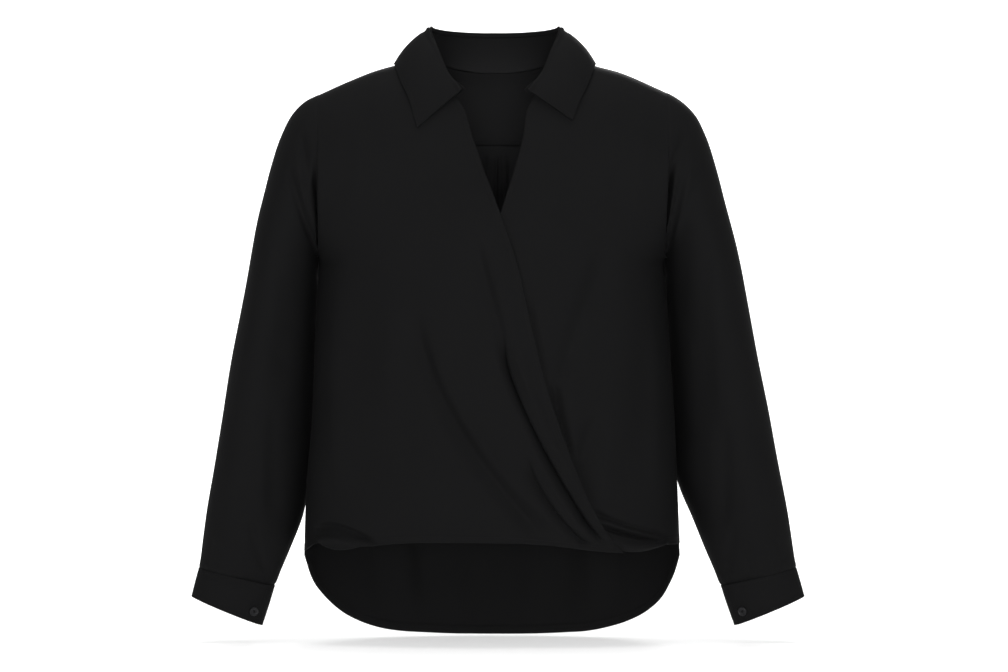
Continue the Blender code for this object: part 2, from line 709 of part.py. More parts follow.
def add_object(name, vertices, faces, colour, roughness, collection):
    mesh = bpy.data.meshes.new(name)
    mesh.from_pydata([tuple(float(c) for c in v) for v in vertices], [], faces)
    mesh.update()
    piece = bpy.data.objects.new(name, mesh)
    collection.objects.link(piece)
    if colour is not None:
        material = bpy.data.materials.new(name + "_finish")
        material.use_nodes = True
        shader = material.node_tree.nodes["Principled BSDF"]
        shader.inputs["Base Color"].default_value = colour
        shader.inputs["Roughness"].default_value = roughness
        shader.inputs["Metallic"].default_value = 0.0
        mesh.materials.append(material)
    return piece


def cloth_piece(name, grid, collection, closed=False):
    """A sheet of cloth over a grid of points, given its thickness."""
    rows, columns = grid.shape[:2]
    faces = []
    for row in range(rows - 1):
        for number in range(columns if closed else columns - 1):
            after = (number + 1) % columns
            here = row * columns
            faces.append((here + number, here + after,
                          here + columns + after, here + columns + number))
    piece = add_object(name, grid.reshape(-1, 3), faces, BLACK_CREPE, 0.8, collection)
    wall = piece.modifiers.new("Cloth", "SOLIDIFY")
    wall.thickness = CLOTH
    wall.offset = 0.0
    wall.use_even_offset = True
    return piece


def lathe(name, profile, sides, collection, colour):
    """A closed turned form about its own Z axis."""
    vertices = []
    faces = []
    for radius, height in profile[1:-1]:
        for number in range(sides):
            angle = 2 * np.pi * number / sides
            vertices.append((radius * np.cos(angle), radius * np.sin(angle), height))
    rings = len(profile) - 2
    bottom = len(vertices)
    vertices.append((0, 0, profile[0][1]))
    vertices.append((0, 0, profile[-1][1]))
    for number in range(sides):
        after = (number + 1) % sides
        faces.append((bottom, after, number))
        top = (rings - 1) * sides
        faces.append((bottom + 1, top + number, top + after))
        for ring in range(rings - 1):
            here = ring * sides
            faces.append((here + number, here + after,
                          here + sides + after, here + sides + number))
    return add_object(name, vertices, faces, colour, 0.3, collection)


def cuff_button(name, side, collection, cutters):
    """A small sewn button with a raised rim and four holes."""
    profile = [
        (0.0, 0.0),
        (BUTTON_RADIUS * 0.8, 0.0),
        (BUTTON_RADIUS, BUTTON_THICK * 0.4),
        (BUTTON_RADIUS * 0.96, BUTTON_THICK * 0.8),
        (BUTTON_RADIUS * 0.87, BUTTON_THICK),
        (BUTTON_RIM, BUTTON_THICK - BUTTON_DISH * 0.3),
        (BUTTON_RIM * 0.8, BUTTON_THICK - BUTTON_DISH),
        (0.0, BUTTON_THICK - BUTTON_DISH),
    ]
    button = lathe(name, profile, BUTTON_SIDES, collection, BLACK_BUTTON)
    place, out, along = button_frame(side)
    across = along.cross(out).normalized()
    along = out.cross(across)
    turn = Matrix((across, along, out)).transposed().to_4x4()
    where = Matrix.Translation(place + out * BUTTON_STAND) @ turn
    holes = bmesh.new()
    for number in range(4):
        angle = np.pi / 4 + number * np.pi / 2
        spot = Vector((HOLE_OUT * np.cos(angle), HOLE_OUT * np.sin(angle), BUTTON_THICK / 2))
        bmesh.ops.create_cone(holes, cap_ends=True, segments=8, radius1=HOLE_RADIUS,
                              radius2=HOLE_RADIUS, depth=BUTTON_THICK * 3,
                              matrix=Matrix.Translation(spot))
    mesh = bpy.data.meshes.new(name + "_holes")
    holes.to_mesh(mesh)
    holes.free()
    cutter = bpy.data.objects.new(name + "_holes", mesh)
    cutters.objects.link(cutter)
    cutter.hide_render = True
    cutter.display_type = "WIRE"
    cut = button.modifiers.new("Holes", "BOOLEAN")
    cut.operation = "DIFFERENCE"
    cut.solver = "EXACT"
    cut.object = cutter
    button.matrix_world = where
    cutter.matrix_world = where
    return button


def build():
    for thing in list(bpy.data.objects):
        bpy.data.objects.remove(thing, do_unlink=True)
    blouse = bpy.data.collections.new("crossed_front_blouse")
    cutters = bpy.data.collections.new("cutters")
    bpy.context.scene.collection.children.link(blouse)
    bpy.context.scene.collection.children.link(cutters)
    cloth_piece("front_over", front_over_points(), blouse)
    cloth_piece("front_under", front_under_points(), blouse)
    cloth_piece("back", back_points(), blouse)
    cloth_piece("yoke", yoke_points(), blouse)
    cloth_piece("collar_stand", stand_points(), blouse)
    cloth_piece("collar_leaf", leaf_points(), blouse)
    for hand, side in (("right", -1), ("left", 1)):
        cloth_piece("sleeve_" + hand, sleeve_points(side), blouse, closed=True)
        cloth_piece("cuff_" + hand, cuff_points(side), blouse)
        cuff_button("cuff_button_" + hand, side, blouse, cutters)


build()
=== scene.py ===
# %% [markdown]
# # A blouse with a crossed front
# This lesson puts real cloth on it: fine sheets with turned edges, creases and rows of
# stitches.

# %% Load the frame
from collections import namedtuple

import bmesh
import bpy
import numpy as np
from mathutils import Matrix, Vector


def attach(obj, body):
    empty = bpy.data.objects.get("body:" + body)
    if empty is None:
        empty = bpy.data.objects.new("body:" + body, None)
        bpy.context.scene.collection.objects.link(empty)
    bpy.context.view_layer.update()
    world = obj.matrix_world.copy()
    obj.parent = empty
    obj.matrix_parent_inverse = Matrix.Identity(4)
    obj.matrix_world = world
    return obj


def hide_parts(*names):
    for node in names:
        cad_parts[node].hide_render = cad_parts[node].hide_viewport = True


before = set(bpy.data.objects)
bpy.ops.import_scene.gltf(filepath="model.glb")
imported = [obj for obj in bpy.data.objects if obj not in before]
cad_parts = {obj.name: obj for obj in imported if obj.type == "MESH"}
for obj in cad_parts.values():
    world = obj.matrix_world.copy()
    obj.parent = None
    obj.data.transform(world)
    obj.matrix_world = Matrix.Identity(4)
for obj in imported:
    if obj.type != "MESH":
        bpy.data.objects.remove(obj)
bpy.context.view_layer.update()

MM = 0.001

# %% [markdown]
# ## Curves through a few sizes
# A pattern cutter works from a few measures and joins them with a curve. The same is done
# here: a short table with named columns, and one function that draws a smooth line
# through it. An ease goes gently from one level to the next, as cloth does.


# %% Curve helpers
def column(rows, name):
    """One named column of a table as an array."""
    return np.array([getattr(row, name) for row in rows], dtype=float)


def smooth(at, knots, values):
    """Smooth curve through the values given at the knots."""
    knots = np.asarray(knots, dtype=float)
    values = np.asarray(values, dtype=float)
    slopes = np.gradient(values, knots, axis=0)
    at = np.clip(np.asarray(at, dtype=float), knots[0], knots[-1])
    left = np.clip(np.searchsorted(knots, at, side="right") - 1, 0, len(knots) - 2)
    step = knots[left + 1] - knots[left]
    t = (at - knots[left]) / step
    extra = (1,) * (values.ndim - 1)
    step = step.reshape(step.shape + extra)
    t = t.reshape(t.shape + extra)
    rest = 1 - t
    start = values[left] * (1 + 2 * t) * rest**2 + slopes[left] * step * t * rest**2
    end = values[left + 1] * (3 - 2 * t) * t**2 - slopes[left + 1] * step * rest * t**2
    return start + end


def looked_up(rows, by, at, name, scale=MM):
    """A named measure of a table at places along one of its columns."""
    knots = column(rows, by) * MM
    way = 1 if knots[-1] > knots[0] else -1
    return smooth(way * at, way * knots, column(rows, name) * scale)


def ease(value):
    """Goes gently from 0 to 1 as the value does."""
    value = np.clip(value, 0.0, 1.0)
    return value * value * (3 - 2 * value)


def bell(distance, width):
    """1 in the middle, and next to nothing two widths away."""
    return np.exp(-(distance / width)**2)


def unit(vectors):
    return vectors / (np.linalg.norm(vectors, axis=-1, keepdims=True) + 1e-12)


def run_along(line):
    """Distances along a line of points from its start."""
    return np.concatenate([[0.0], np.cumsum(np.linalg.norm(np.diff(line, axis=0), axis=1))])


def table(row, *rows):
    """Rows of numbers as a table with named columns."""
    return [row(*numbers) for numbers in rows]


# %% [markdown]
# ## The body of the blouse
# The torso is a loft: its width and depth are given at nine heights, the shoulder line
# over the distance from the middle, and the armholes are upright ovals. A loft keeps the
# hollow, worn shape, which a flat panel blown up or a filled torso would not.

# %% Torso and shoulders
SEAM_GAP = 0.45 * MM
ARMHOLE_GAP = 0.9 * MM
UNDERARM_GAP = 1.5 * MM
NECK_GAP = 0.95 * MM
ARM_MIDDLE = -138.5 * MM
ARM_DROP = 101.5 * MM
ARM_DEPTH = 72 * MM
UNDERARM = ARM_MIDDLE - ARM_DROP
ON_SHOULDER = ARM_MIDDLE + 1.0
ARM_STEP = 15
SIDE_TURN = 12

Section = namedtuple("Section", "height right left front back open rounding")
TORSO = table(
    Section,
    (-138.5, 218.5, 214, 98, 103, 72, 1.70),
    (-190, 219, 212, 109, 108, 62, 1.45),
    (-246, 220, 212, 117, 111, 36, 1.15),
    (-310, 223, 216, 120.5, 113, 10, 0.93),
    (-370, 225.5, 219.5, 122, 113, 0, 0.85),
    (-430, 227.5, 223.5, 122, 113, 0, 0.84),
    (-520, 235, 227.5, 121, 113, 0, 0.84),
    (-600, 238, 230.5, 118, 113, 0, 0.84),
    (-725, 236, 229.5, 112, 110, 0, 0.86),
)
Ridge = namedtuple("Ridge", "across height")
SHOULDER = table(
    Ridge,
    (0, 25.5), (42, 22.5), (84, 12.5), (125, -1), (156, -10.5), (186, -22.5), (218.5, -37),
    (245, -50),
)


def shoulder_height(x):
    return looked_up(SHOULDER, "across", np.abs(x), "height")


def torso_value(name, height):
    """One measure of the torso at a height."""
    return looked_up(TORSO, "height", height, name, 1 if name == "rounding" else MM)


def side_width(side, height):
    """How far the body reaches to one side: -1 is the wearer's right."""
    return torso_value("right" if side < 0 else "left", height)


def torso_point(side, turn, arch, height):
    """A point of the body: side -1 is the front, turn runs from seam to seam, and arch
    climbs over the shoulder (0 on the shoulder line, a right angle from there down)."""
    turn, arch, height = np.broadcast_arrays(turn, arch, height)
    level = np.minimum(height, ARM_MIDDLE)
    right, left = torso_value("right", level), torso_value("left", level)
    deep = torso_value("front" if side < 0 else "back", level)
    x = (left - right) / 2 + (left + right) / 2 * np.sin(turn)
    over = ARM_MIDDLE + (shoulder_height(x) - ARM_MIDDLE) * np.cos(arch)
    z = np.where(arch < np.pi / 2 - 1e-6, over, height)
    drop = np.clip((ARM_MIDDLE - level) / ARM_DROP, 0.0, 1.0)
    at_arm = ARM_DEPTH * np.sqrt(1 - drop**2)
    kept = torso_value("open", level)
    cosine = np.clip(np.cos(turn), 0.0, 1.0)
    at_side = np.abs(np.sin(turn))**SIDE_TURN
    full = (deep - kept) * cosine**torso_value("rounding", level)
    depth = kept + full + (at_arm - kept) * at_side
    return np.stack([x, side * (SEAM_GAP / 2 + depth * np.sin(arch)), z], axis=-1)


def turn_at(x, height):
    """The turn that brings the body to this place across."""
    level = np.minimum(height, ARM_MIDDLE)
    right, left = torso_value("right", level), torso_value("left", level)
    return np.arcsin(np.clip((x - (left - right) / 2) / ((left + right) / 2), -1.0, 1.0))


def arch_of(x, z):
    """How far over the shoulder a place seen from the front is."""
    share = (z - ARM_MIDDLE) / (shoulder_height(x) - ARM_MIDDLE)
    return np.arccos(np.clip(share, 0.0, 1.0))


print("chest", round(2 * float(torso_value("right", -0.25)), 3), "m wide at the underarm")

# %% [markdown]
# ## Cut edges and hems
# The two fronts end in slanting edges that cross over the chest, the hem in front is
# nearly straight, and the back drops to a long round tail. Each line is a table of
# places across and heights, in millimetres, as a tailor would chalk them.

# %% Edges and hems
Line = namedtuple("Line", "across height")
OVER_EDGE = table(
    Line,
    (-84, 12.5), (-81.5, 3), (-75, -13), (-62, -29), (-42.5, -45), (-39.1, -61.3),
    (-21.8, -113.5), (5.1, -187.3), (25.9, -248.5), (39.3, -307), (55.2, -374.1),
    (67.3, -416.8), (88.1, -477.8), (104.1, -517.1), (122.5, -557.6), (141, -588), (164, -612),
)
UNDER_EDGE = table(
    Line,
    (84, 12.5), (81.5, 3), (75, -13), (62, -29), (43.2, -46), (41.4, -71.2), (30.6, -113.5),
    (8, -187.3), (-15, -248.5), (-30, -307), (-46, -374.1), (-58, -416.8), (-79, -477.8),
    (-95, -517.1), (-113, -557.6), (-130, -600),
)
OVER_HEM = table(
    Line,
    (-238, -606), (-210, -602.5), (-174, -599), (-146, -596), (-38, -590.5), (64, -593.8),
    (125, -601.5), (166, -605),
)
UNDER_HEM = table(
    Line,
    (-140, -584), (0, -582), (110, -586), (135, -592), (160, -601), (185, -604.5), (210, -603),
    (231, -600),
)
TAIL_HEM = table(
    Line,
    (-237, -612), (-233, -632), (-218, -661.5), (-204, -679), (-189, -690), (-159, -705),
    (-129, -712), (-83, -716), (0, -718), (83, -716), (125, -712), (155, -704), (186, -690),
    (204, -675), (219, -652), (226, -632), (230, -612),
)


def edge_place(edge, arch, height):
    """Where a cut edge crosses a row, across the body."""
    order = np.arange(len(edge), dtype=float)
    fine = np.linspace(0, len(edge) - 1, 500)
    x = smooth(fine, order, column(edge, "across") * MM)
    z = smooth(fine, order, column(edge, "height") * MM)
    row = np.where(z > ARM_MIDDLE, arch_of(x, z), np.pi / 2 + (ARM_MIDDLE - z) * 10)
    wanted = np.where(height > ARM_MIDDLE, arch, arch + (ARM_MIDDLE - height) * 10)
    return np.interp(wanted, row, x)


def body_rows(first, below, hem):
    """Arches and heights of the rows, and their height as a function of the place across."""
    rows = []
    for degree in np.arange(first, 181, ARM_STEP):
        angle = np.radians(degree)
        height = ARM_MIDDLE - ARM_DROP * abs(np.cos(angle)) if degree > 90 else ARM_MIDDLE
        if degree < 90:
            height = ON_SHOULDER
        rows.append((min(angle, np.pi / 2), height, 0.0))
    for number in range(1, below + 1):
        rows.append((np.pi / 2, UNDERARM, number / below))

    def height_at(row, x):
        arch, height, share = rows[row]
        return height + share * (looked_up(hem, "across", x, "height") - UNDERARM)

    return rows, height_at


def front_grid(edge, hem, outer_side, crowd, columns=24):
    """Grid of one front, from its side seam and armhole to its free edge."""
    rows, height_at = body_rows(0, 14, hem)
    share = np.linspace(0, 1, columns + 1)
    share = share + crowd * share * (1 - share)
    grid = np.zeros((len(rows), columns + 1, 3))
    for number, (arch, height, _) in enumerate(rows):
        x = edge_place(edge, arch, min(height, 1.0))
        for _ in range(4):
            level = height_at(number, x)
            x = edge_place(edge, arch, level)
        last = turn_at(x, level)
        turn = outer_side * np.pi / 2 + (last - outer_side * np.pi / 2) * share
        across = torso_point(-1, turn, arch, level)[..., 0]
        for _ in range(2):
            level = height_at(number, across)
            across = torso_point(-1, turn, arch, level)[..., 0]
        grid[number] = torso_point(-1, turn, arch, level)
    return grid


print("edges:", len(OVER_EDGE), "and", len(UNDER_EDGE), "places; tail hem:", len(TAIL_HEM))

# %% [markdown]
# ## From a coarse grid to cloth
# The coarse grid of each piece is drawn through again with a spline, close enough for
# small creases: three millimetres in the middle and about one at the edges, where the
# cloth turns. A few rounds of averaging take out what is left of the coarse rows.

# %% Fine grids
FINE = 3 * MM
FINER = 1.4
RELAX_ROUNDS = 24
NO_STRETCH = (2.0, 2.0)
NEAR_EDGE = np.array([0.0, 0.7, 1.6, 2.8, 4.2, 5.6, 7.0, 8.6, 10.4]) * MM
Border = namedtuple("Border", "top bottom left right")


def stations(total, step, fine=NO_STRETCH):
    """Places along a length, crowded at both ends and over a fine stretch between two shares."""
    near = NEAR_EDGE[NEAR_EDGE < total / 3]
    inner = np.linspace(near[-1], total - near[-1], 400)
    share = inner / total
    pace = (1 + FINER * ease((share - fine[0]) / 0.03) * ease((fine[1] - share) / 0.03)) / step
    run = np.cumsum(pace) * (inner[1] - inner[0])
    count = max(int(np.ceil(run[-1])), 1)
    middle = np.interp(run[-1] * np.arange(1, count) / count, run, inner)
    return np.concatenate([near, middle, (total - near)[::-1]])


def knots_of(grid):
    """Mean distance along the rows of a grid."""
    steps = np.linalg.norm(np.diff(grid, axis=0), axis=-1).mean(axis=1)
    return np.concatenate([[0.0], np.cumsum(np.maximum(steps, 1e-6))])


def refine(grid, step=FINE, down_step=None, around=False, fine=(NO_STRETCH, NO_STRETCH)):
    """A finer grid through the same points, and how far each is from the four edges."""
    down = knots_of(grid)
    down_at = stations(down[-1], down_step or step, fine[0])
    grid = smooth(down_at, down, grid)
    sideways = grid.swapaxes(0, 1)
    if around:
        sideways = np.concatenate([sideways[-3:], sideways, sideways[:4]])
        across = knots_of(sideways)
        across = across - across[3]
        total = across[-4]
        across_at = np.linspace(0, total, int(np.ceil(total / step)) + 1)
    else:
        across = knots_of(sideways)
        across_at = stations(across[-1], step, fine[1])
    grid = smooth(across_at, across, sideways).swapaxes(0, 1)
    if around:
        grid[:, -1] = grid[:, 0]
    down, across = np.meshgrid(down_at, across_at, indexing="ij")
    return grid, Border(down, down_at[-1] - down, across, across_at[-1] - across)


def relax(grid):
    """Evens out the inside of a grid and leaves its edges where they are."""
    grid = grid.copy()
    for _ in range(RELAX_ROUNDS):
        mean = (np.roll(grid, 1, axis=1) + np.roll(grid, -1, axis=1)) / 2
        mean[1:-1] = (mean[1:-1] + (grid[2:] + grid[:-2]) / 2) / 2
        grid[1:-1, 1:-1] += (mean[1:-1, 1:-1] - grid[1:-1, 1:-1]) * 0.6
    return grid


def outward(grid, towards, around=False):
    """Directions out of a grid, on the side that the direction towards points to."""
    if around:
        wide = np.concatenate([grid[:, -2:-1], grid, grid[:, 1:2]], axis=1)
        down, across = np.gradient(wide, axis=(0, 1))
        out = unit(np.cross(across, down))[:, 1:-1]
    else:
        down, across = np.gradient(grid, axis=(0, 1))
        out = unit(np.cross(across, down))
    return out * np.sign(np.sum(out * towards) + 1e-9)


print("fine step", FINE, "m")

# %% [markdown]
# ## Creases
# On real cloth a crease starts somewhere, runs out somewhere, and is steeper on one side
# than on the other. Each row of a table places one: three points seen from the front,
# how far it moves the cloth, and how wide it is on either side. Uneven numbers keep the
# folds from looking ruled. A simulation would give other folds than these.

# %% Creases and unevenness
Crease = namedtuple("Crease", "x0 z0 x1 z1 x2 z2 rise left right lap", defaults=(0.0,))
LAP_WIDTH = 3.2 * MM
CREASE_START = 0.25
CREASE_END = 0.14


def along_crease(crease, x, z):
    """Distances beside a crease and from it, how full it is there, and its right-hand side."""
    t = np.linspace(0, 1, 61)
    bend_x = 2 * crease.x1 - (crease.x0 + crease.x2) / 2
    bend_z = 2 * crease.z1 - (crease.z0 + crease.z2) / 2
    curve_x = ((1 - t)**2 * crease.x0 + 2 * t * (1 - t) * bend_x + t**2 * crease.x2) * MM
    curve_z = ((1 - t)**2 * crease.z0 + 2 * t * (1 - t) * bend_z + t**2 * crease.z2) * MM
    way_x = np.gradient(curve_x)
    way_z = np.gradient(curve_z)
    length = np.hypot(way_x, way_z)
    way_x, way_z = way_x / length, way_z / length
    nearest = np.hypot(x[..., None] - curve_x, z[..., None] - curve_z).argmin(axis=-1)
    off_x = x - curve_x[nearest]
    off_z = z - curve_z[nearest]
    beside = way_x[nearest] * off_z - way_z[nearest] * off_x
    beyond = way_x[nearest] * off_x + way_z[nearest] * off_z
    ends = (nearest == 0) | (nearest == len(t) - 1)
    away = np.hypot(beside, np.where(ends, beyond, 0.0))
    along = np.clip(t[nearest] + beyond / length.sum(), 0, 1)
    full = ease(along / CREASE_START + 0.1) * ease((1 - along) / CREASE_END + 0.22)
    return beside, away, full, np.stack([-way_z[nearest], way_x[nearest]], axis=-1)


def crease_relief(creases, x, z):
    """How far the creases move the cloth in or out at places seen from the front."""
    relief = np.zeros_like(x)
    for crease in creases:
        beside, away, full, _ = along_crease(crease, x, z)
        width = np.where(beside > 0, crease.right, crease.left) * MM
        relief += crease.rise * MM * full * bell(away, width)
    return relief


def crease_lap(creases, x, z):
    """How far the cloth on the right of a fold is pushed to lie over it."""
    move = np.zeros(x.shape + (3,))
    for crease in creases:
        if crease.lap:
            beside, away, full, right = along_crease(crease, x, z)
            past = np.hypot(beside - LAP_WIDTH, np.sqrt(np.maximum(away**2 - beside**2, 0)))
            push = crease.lap * MM * full * bell(past, LAP_WIDTH)
            move[..., 0::2] -= right * push[..., None]
    return move


def uneven(x, z, size, seed):
    """Soft random waves from -1 to 1, as hung cloth has."""
    random = np.random.default_rng(seed)
    total = np.zeros_like(x)
    for _ in range(7):
        angle = random.normal(0.0, 0.45)
        pace = 2 * np.pi / (size * random.uniform(0.7, 1.6))
        phase = random.uniform(0, 2 * np.pi)
        total += np.sin(pace * (np.cos(angle) * x + np.sin(angle) * z * 0.6) + phase)
    return total / 4.0


print("a crease has", len(Crease._fields), "sizes")

# %% [markdown]
# ## Turned edges and seam allowances
# A hem is the cloth's own edge folded to the inside, and a seam hides a strip of each
# piece under the other. Both are short strips of grid that start on the edge of a panel.
# At a corner a turned edge narrows to nothing, as in a mitred hem, so that two of them
# never lie in the same place.

# %% Strips along an edge
HEM_GAP = 1.5 * MM


def from_edge(array, edge):
    """A grid turned so that the named edge is its first row."""
    if edge == "bottom":
        return array[::-1]
    if edge == "left":
        return array.swapaxes(0, 1)
    if edge == "right":
        return array[:, ::-1].swapaxes(0, 1)
    return array


def inside_edge(grid, out, edge, distance):
    """Places, and directions out of them, at a distance in from an edge."""
    rows = from_edge(grid, edge)[:30]
    ups = from_edge(out, edge)[:30]
    steps = np.linalg.norm(np.diff(rows, axis=0), axis=-1)
    away = np.concatenate([np.zeros((1, rows.shape[1])), np.cumsum(steps, axis=0)])
    distance = np.broadcast_to(distance, rows.shape[1])
    low = np.clip((away <= distance).sum(axis=0) - 1, 0, len(rows) - 2)
    number = np.arange(rows.shape[1])
    t = (distance - away[low, number]) / (away[low + 1, number] - away[low, number] + 1e-12)
    t = np.clip(t, 0, 1)[:, None]
    place = rows[low, number] * (1 - t) + rows[low + 1, number] * t
    return place, unit(ups[low, number] * (1 - t) + ups[low + 1, number] * t)


def edge_frame(grid, out, edge):
    """An edge, the directions out of the cloth there, and on past the edge."""
    first, up = inside_edge(grid, out, edge, 0.0)
    inner, _ = inside_edge(grid, out, edge, 2.5 * MM)
    return first, up, unit(first - inner)


def turned_under(grid, out, edge, depth, end=0.0):
    """A strip of cloth folded to the inside along an edge."""
    first, up, past = edge_frame(grid, out, edge)
    run = run_along(first)
    taper = np.ones(len(run))
    if end:
        taper = np.clip((run[-1] - run) / end, 0, 1)
    radius = (HEM_GAP / 2 * (0.2 + 0.8 * np.sqrt(taper)))[:, None]
    rows = []
    for angle in np.radians([0, 45, 90, 135, 180]):
        rows.append(first - up * radius * (1 - np.cos(angle)) + past * radius * np.sin(angle))
    for share in (0.25, 0.5, 0.75, 1.0):
        place, there = inside_edge(grid, out, edge, depth * share * taper + 0.05 * MM)
        rows.append(place - there * 2 * radius)
    return np.array(rows)


def tucked_in(grid, out, edge, depth=8 * MM, under=1.7 * MM, slope=0.12, course=None):
    """A seam allowance that runs on past an edge, under the next piece, on its course."""
    first, up, past = edge_frame(grid, out, edge)
    if course is not None:
        past = np.zeros_like(first) + unit(course)
        up = unit(up - past * np.sum(up * past, axis=-1, keepdims=True))
    rows = [first, first + past * 0.3 * MM - up * under * 0.5, first + past * 0.9 * MM - up * under]
    for share in (0.4, 0.7, 1.0):
        rows.append(first + past * depth * share - up * (under + slope * depth * share))
    return np.array(rows)


def seam_dip(distance):
    """The cloth sinks a little next to a seam."""
    return -0.35 * MM * bell(distance, 1.3 * MM)


def hem_band(distance, depth, along, seed):
    """The doubled cloth of a hem stands out a little and puckers at its stitches."""
    band = 0.3 * MM * (1 - ease((distance - depth + 0.6 * MM) / (1.4 * MM)))
    pucker = uneven(along, along * 0, 11 * MM, seed) * 0.13 * MM
    return band + pucker * bell(distance - depth + 1.2 * MM, 5 * MM)


print("hem gap", HEM_GAP, "m")

# %% [markdown]
# ## One sheet of cloth
# Each piece is a panel and its strips, laid out flat next to each other in the UV map
# like parts of a pattern on the cutting table, so that the weave runs true on every
# one. They are welded, their normals are made to agree, and only then does Solidify
# give the cloth its thickness. The result is a plain mesh at the origin.

# %% Cloth pieces
CLOTH = 0.8 * MM
AREA = {}


def flat_map(grid):
    """Distances across and down a grid, as its place in the UV map."""
    down = knots_of(grid)
    across = knots_of(grid.swapaxes(0, 1))
    v, u = np.meshgrid(-down, across, indexing="ij")
    return np.stack([u, v], axis=-1)


def added(name, data):
    """A new object in the scene."""
    thing = bpy.data.objects.new(name, data)
    bpy.context.scene.collection.objects.link(thing)
    return thing


def shade_smooth(mesh, sharp=180):
    """Smooth shading, but for the edges that turn by more than an angle."""
    mesh.polygons.foreach_set("use_smooth", [True] * len(mesh.polygons))
    if sharp < 180:
        mesh.set_sharp_from_angle(angle=np.radians(sharp))


def plain_mesh(thing, name):
    """The evaluated object as a mesh without modifiers, put in its place."""
    seen = thing.evaluated_get(bpy.context.evaluated_depsgraph_get())
    mesh = bpy.data.meshes.new_from_object(seen)
    mesh.name = name
    thing.modifiers.clear()
    thing.data = mesh
    return mesh


def cloth_piece(name, grids, finish, thickness=CLOTH, rim=0.0):
    """A piece of cloth from a panel and the strips on its edges."""
    vertices, faces, places = [], [], []
    below = area = 0.0
    for grid in grids:
        rows, columns = grid.shape[:2]
        flat = flat_map(grid)
        flat[..., 1] += below
        below = flat[..., 1].min() - 0.01
        first = sum(len(block) for block in vertices)
        corner = (np.arange(rows - 1)[:, None] * columns + np.arange(columns - 1)).ravel() + first
        vertices.append(grid.reshape(-1, 3))
        faces.append(corner[:, None] + np.array([0, 1, columns + 1, columns]))
        places.append(flat.reshape(-1, 2))
        side_a = grid[1:, 1:] - grid[:-1, :-1]
        side_b = grid[1:, :-1] - grid[:-1, 1:]
        area += np.linalg.norm(np.cross(side_a, side_b), axis=-1).sum() / 2
    mesh = bpy.data.meshes.new(name)
    mesh.from_pydata(np.concatenate(vertices).tolist(), [], np.concatenate(faces).tolist())
    flat = mesh.uv_layers.new(name="cloth")
    corners = np.zeros(len(mesh.loops), dtype=int)
    mesh.loops.foreach_get("vertex_index", corners)
    flat.data.foreach_set("uv", np.concatenate(places)[corners].ravel())
    weld = bmesh.new()
    weld.from_mesh(mesh)
    bmesh.ops.remove_doubles(weld, verts=weld.verts, dist=2e-6)
    bmesh.ops.dissolve_degenerate(weld, edges=weld.edges, dist=1e-6)
    bmesh.ops.recalc_face_normals(weld, faces=weld.faces)
    weld.to_mesh(mesh)
    weld.free()
    mesh.materials.append(finish)
    piece = added(name, mesh)
    wall = piece.modifiers.new("Cloth", "SOLIDIFY")
    wall.thickness = thickness
    wall.offset = 0.0
    if rim:
        soft = piece.modifiers.new("Rim", "BEVEL")
        soft.width = rim
        soft.segments = 2
        soft.limit_method = "ANGLE"
        soft.angle_limit = np.radians(60)
    mesh = plain_mesh(piece, name)
    shade_smooth(mesh, 55)
    mesh.calc_loop_triangles()
    AREA[name] = area
    print(name, len(mesh.loop_triangles), "triangles,", round(area, 4), "m2 of cloth")
    return piece


# %% [markdown]
# ## Shader sums
# A material is a recipe of nodes. One class wraps an output so that it can be added and
# multiplied like a number, and one method makes any other node from its settings and
# the values of its sockets. The stitches further down are sewn by such nodes too.

# %% Node recipes
class Sum:
    """A node's output that Python sums can be written on."""

    def __init__(self, recipe, output):
        self.recipe = recipe
        self.output = output

    def math(self, operation, *values):
        return self.recipe.node("ShaderNodeMath", {"operation": operation}, dict(enumerate(values)))

    def sine(self):
        return self.math("SINE", self)

    def __abs__(self):
        return self.math("ABSOLUTE", self)

    def __add__(self, other):
        return self.math("ADD", self, other)

    __radd__ = __add__

    def __sub__(self, other):
        return self.math("SUBTRACT", self, other)

    def __rsub__(self, other):
        return self.math("SUBTRACT", other, self)

    def __mul__(self, other):
        return self.math("MULTIPLY", self, other)

    __rmul__ = __mul__


class Nodes:
    """The nodes of a tree, made one by one."""

    def __init__(self, tree):
        self.tree = tree

    def set(self, node, sockets):
        """Gives sockets their values or links."""
        for key, value in sockets.items():
            if isinstance(value, Sum):
                self.tree.links.new(value.output, node.inputs[key])
            else:
                node.inputs[key].default_value = value

    def node(self, kind, settings=None, sockets=None, out=0):
        """Any node: its settings first, then its sockets; gives one output."""
        node = self.tree.nodes.new(kind)
        for key, value in (settings or {}).items():
            setattr(node, key, value)
        self.set(node, sockets or {})
        return Sum(self, node.outputs[out])


class Recipe(Nodes):
    """A new material and the nodes that make it."""

    def __init__(self, name):
        self.material = bpy.data.materials.new(name)
        self.material.use_nodes = True
        super().__init__(self.material.node_tree)

    def axis(self, place, name):
        return self.node("ShaderNodeSeparateXYZ", None, {0: place}, out=name)

    def noise(self, place, scale, detail=2.0):
        sockets = {"Vector": place, "Scale": scale, "Detail": detail, "Roughness": 0.55}
        return self.node("ShaderNodeTexNoise", None, sockets, out="Fac")

    def bump(self, height, strength, distance):
        sockets = {"Strength": strength, "Distance": distance, "Height": height}
        return self.node("ShaderNodeBump", None, sockets)

    def blend(self, factor, first, second):
        settings = {"data_type": "RGBA"}
        return self.node("ShaderNodeMix", settings, {0: factor, 6: first, 7: second}, out=2)

    def fade(self, value, start, end, first, last):
        """Goes gently from first to last while the value goes from start to end."""
        sockets = {"Value": value, "From Min": start, "From Max": end, "To Min": first,
                   "To Max": last}
        return self.node("ShaderNodeMapRange", {"interpolation_type": "SMOOTHSTEP"}, sockets)

    def finish(self, sockets):
        self.set(self.tree.nodes["Principled BSDF"], sockets)
        return self.material


print("recipe sums: add, subtract, multiply")

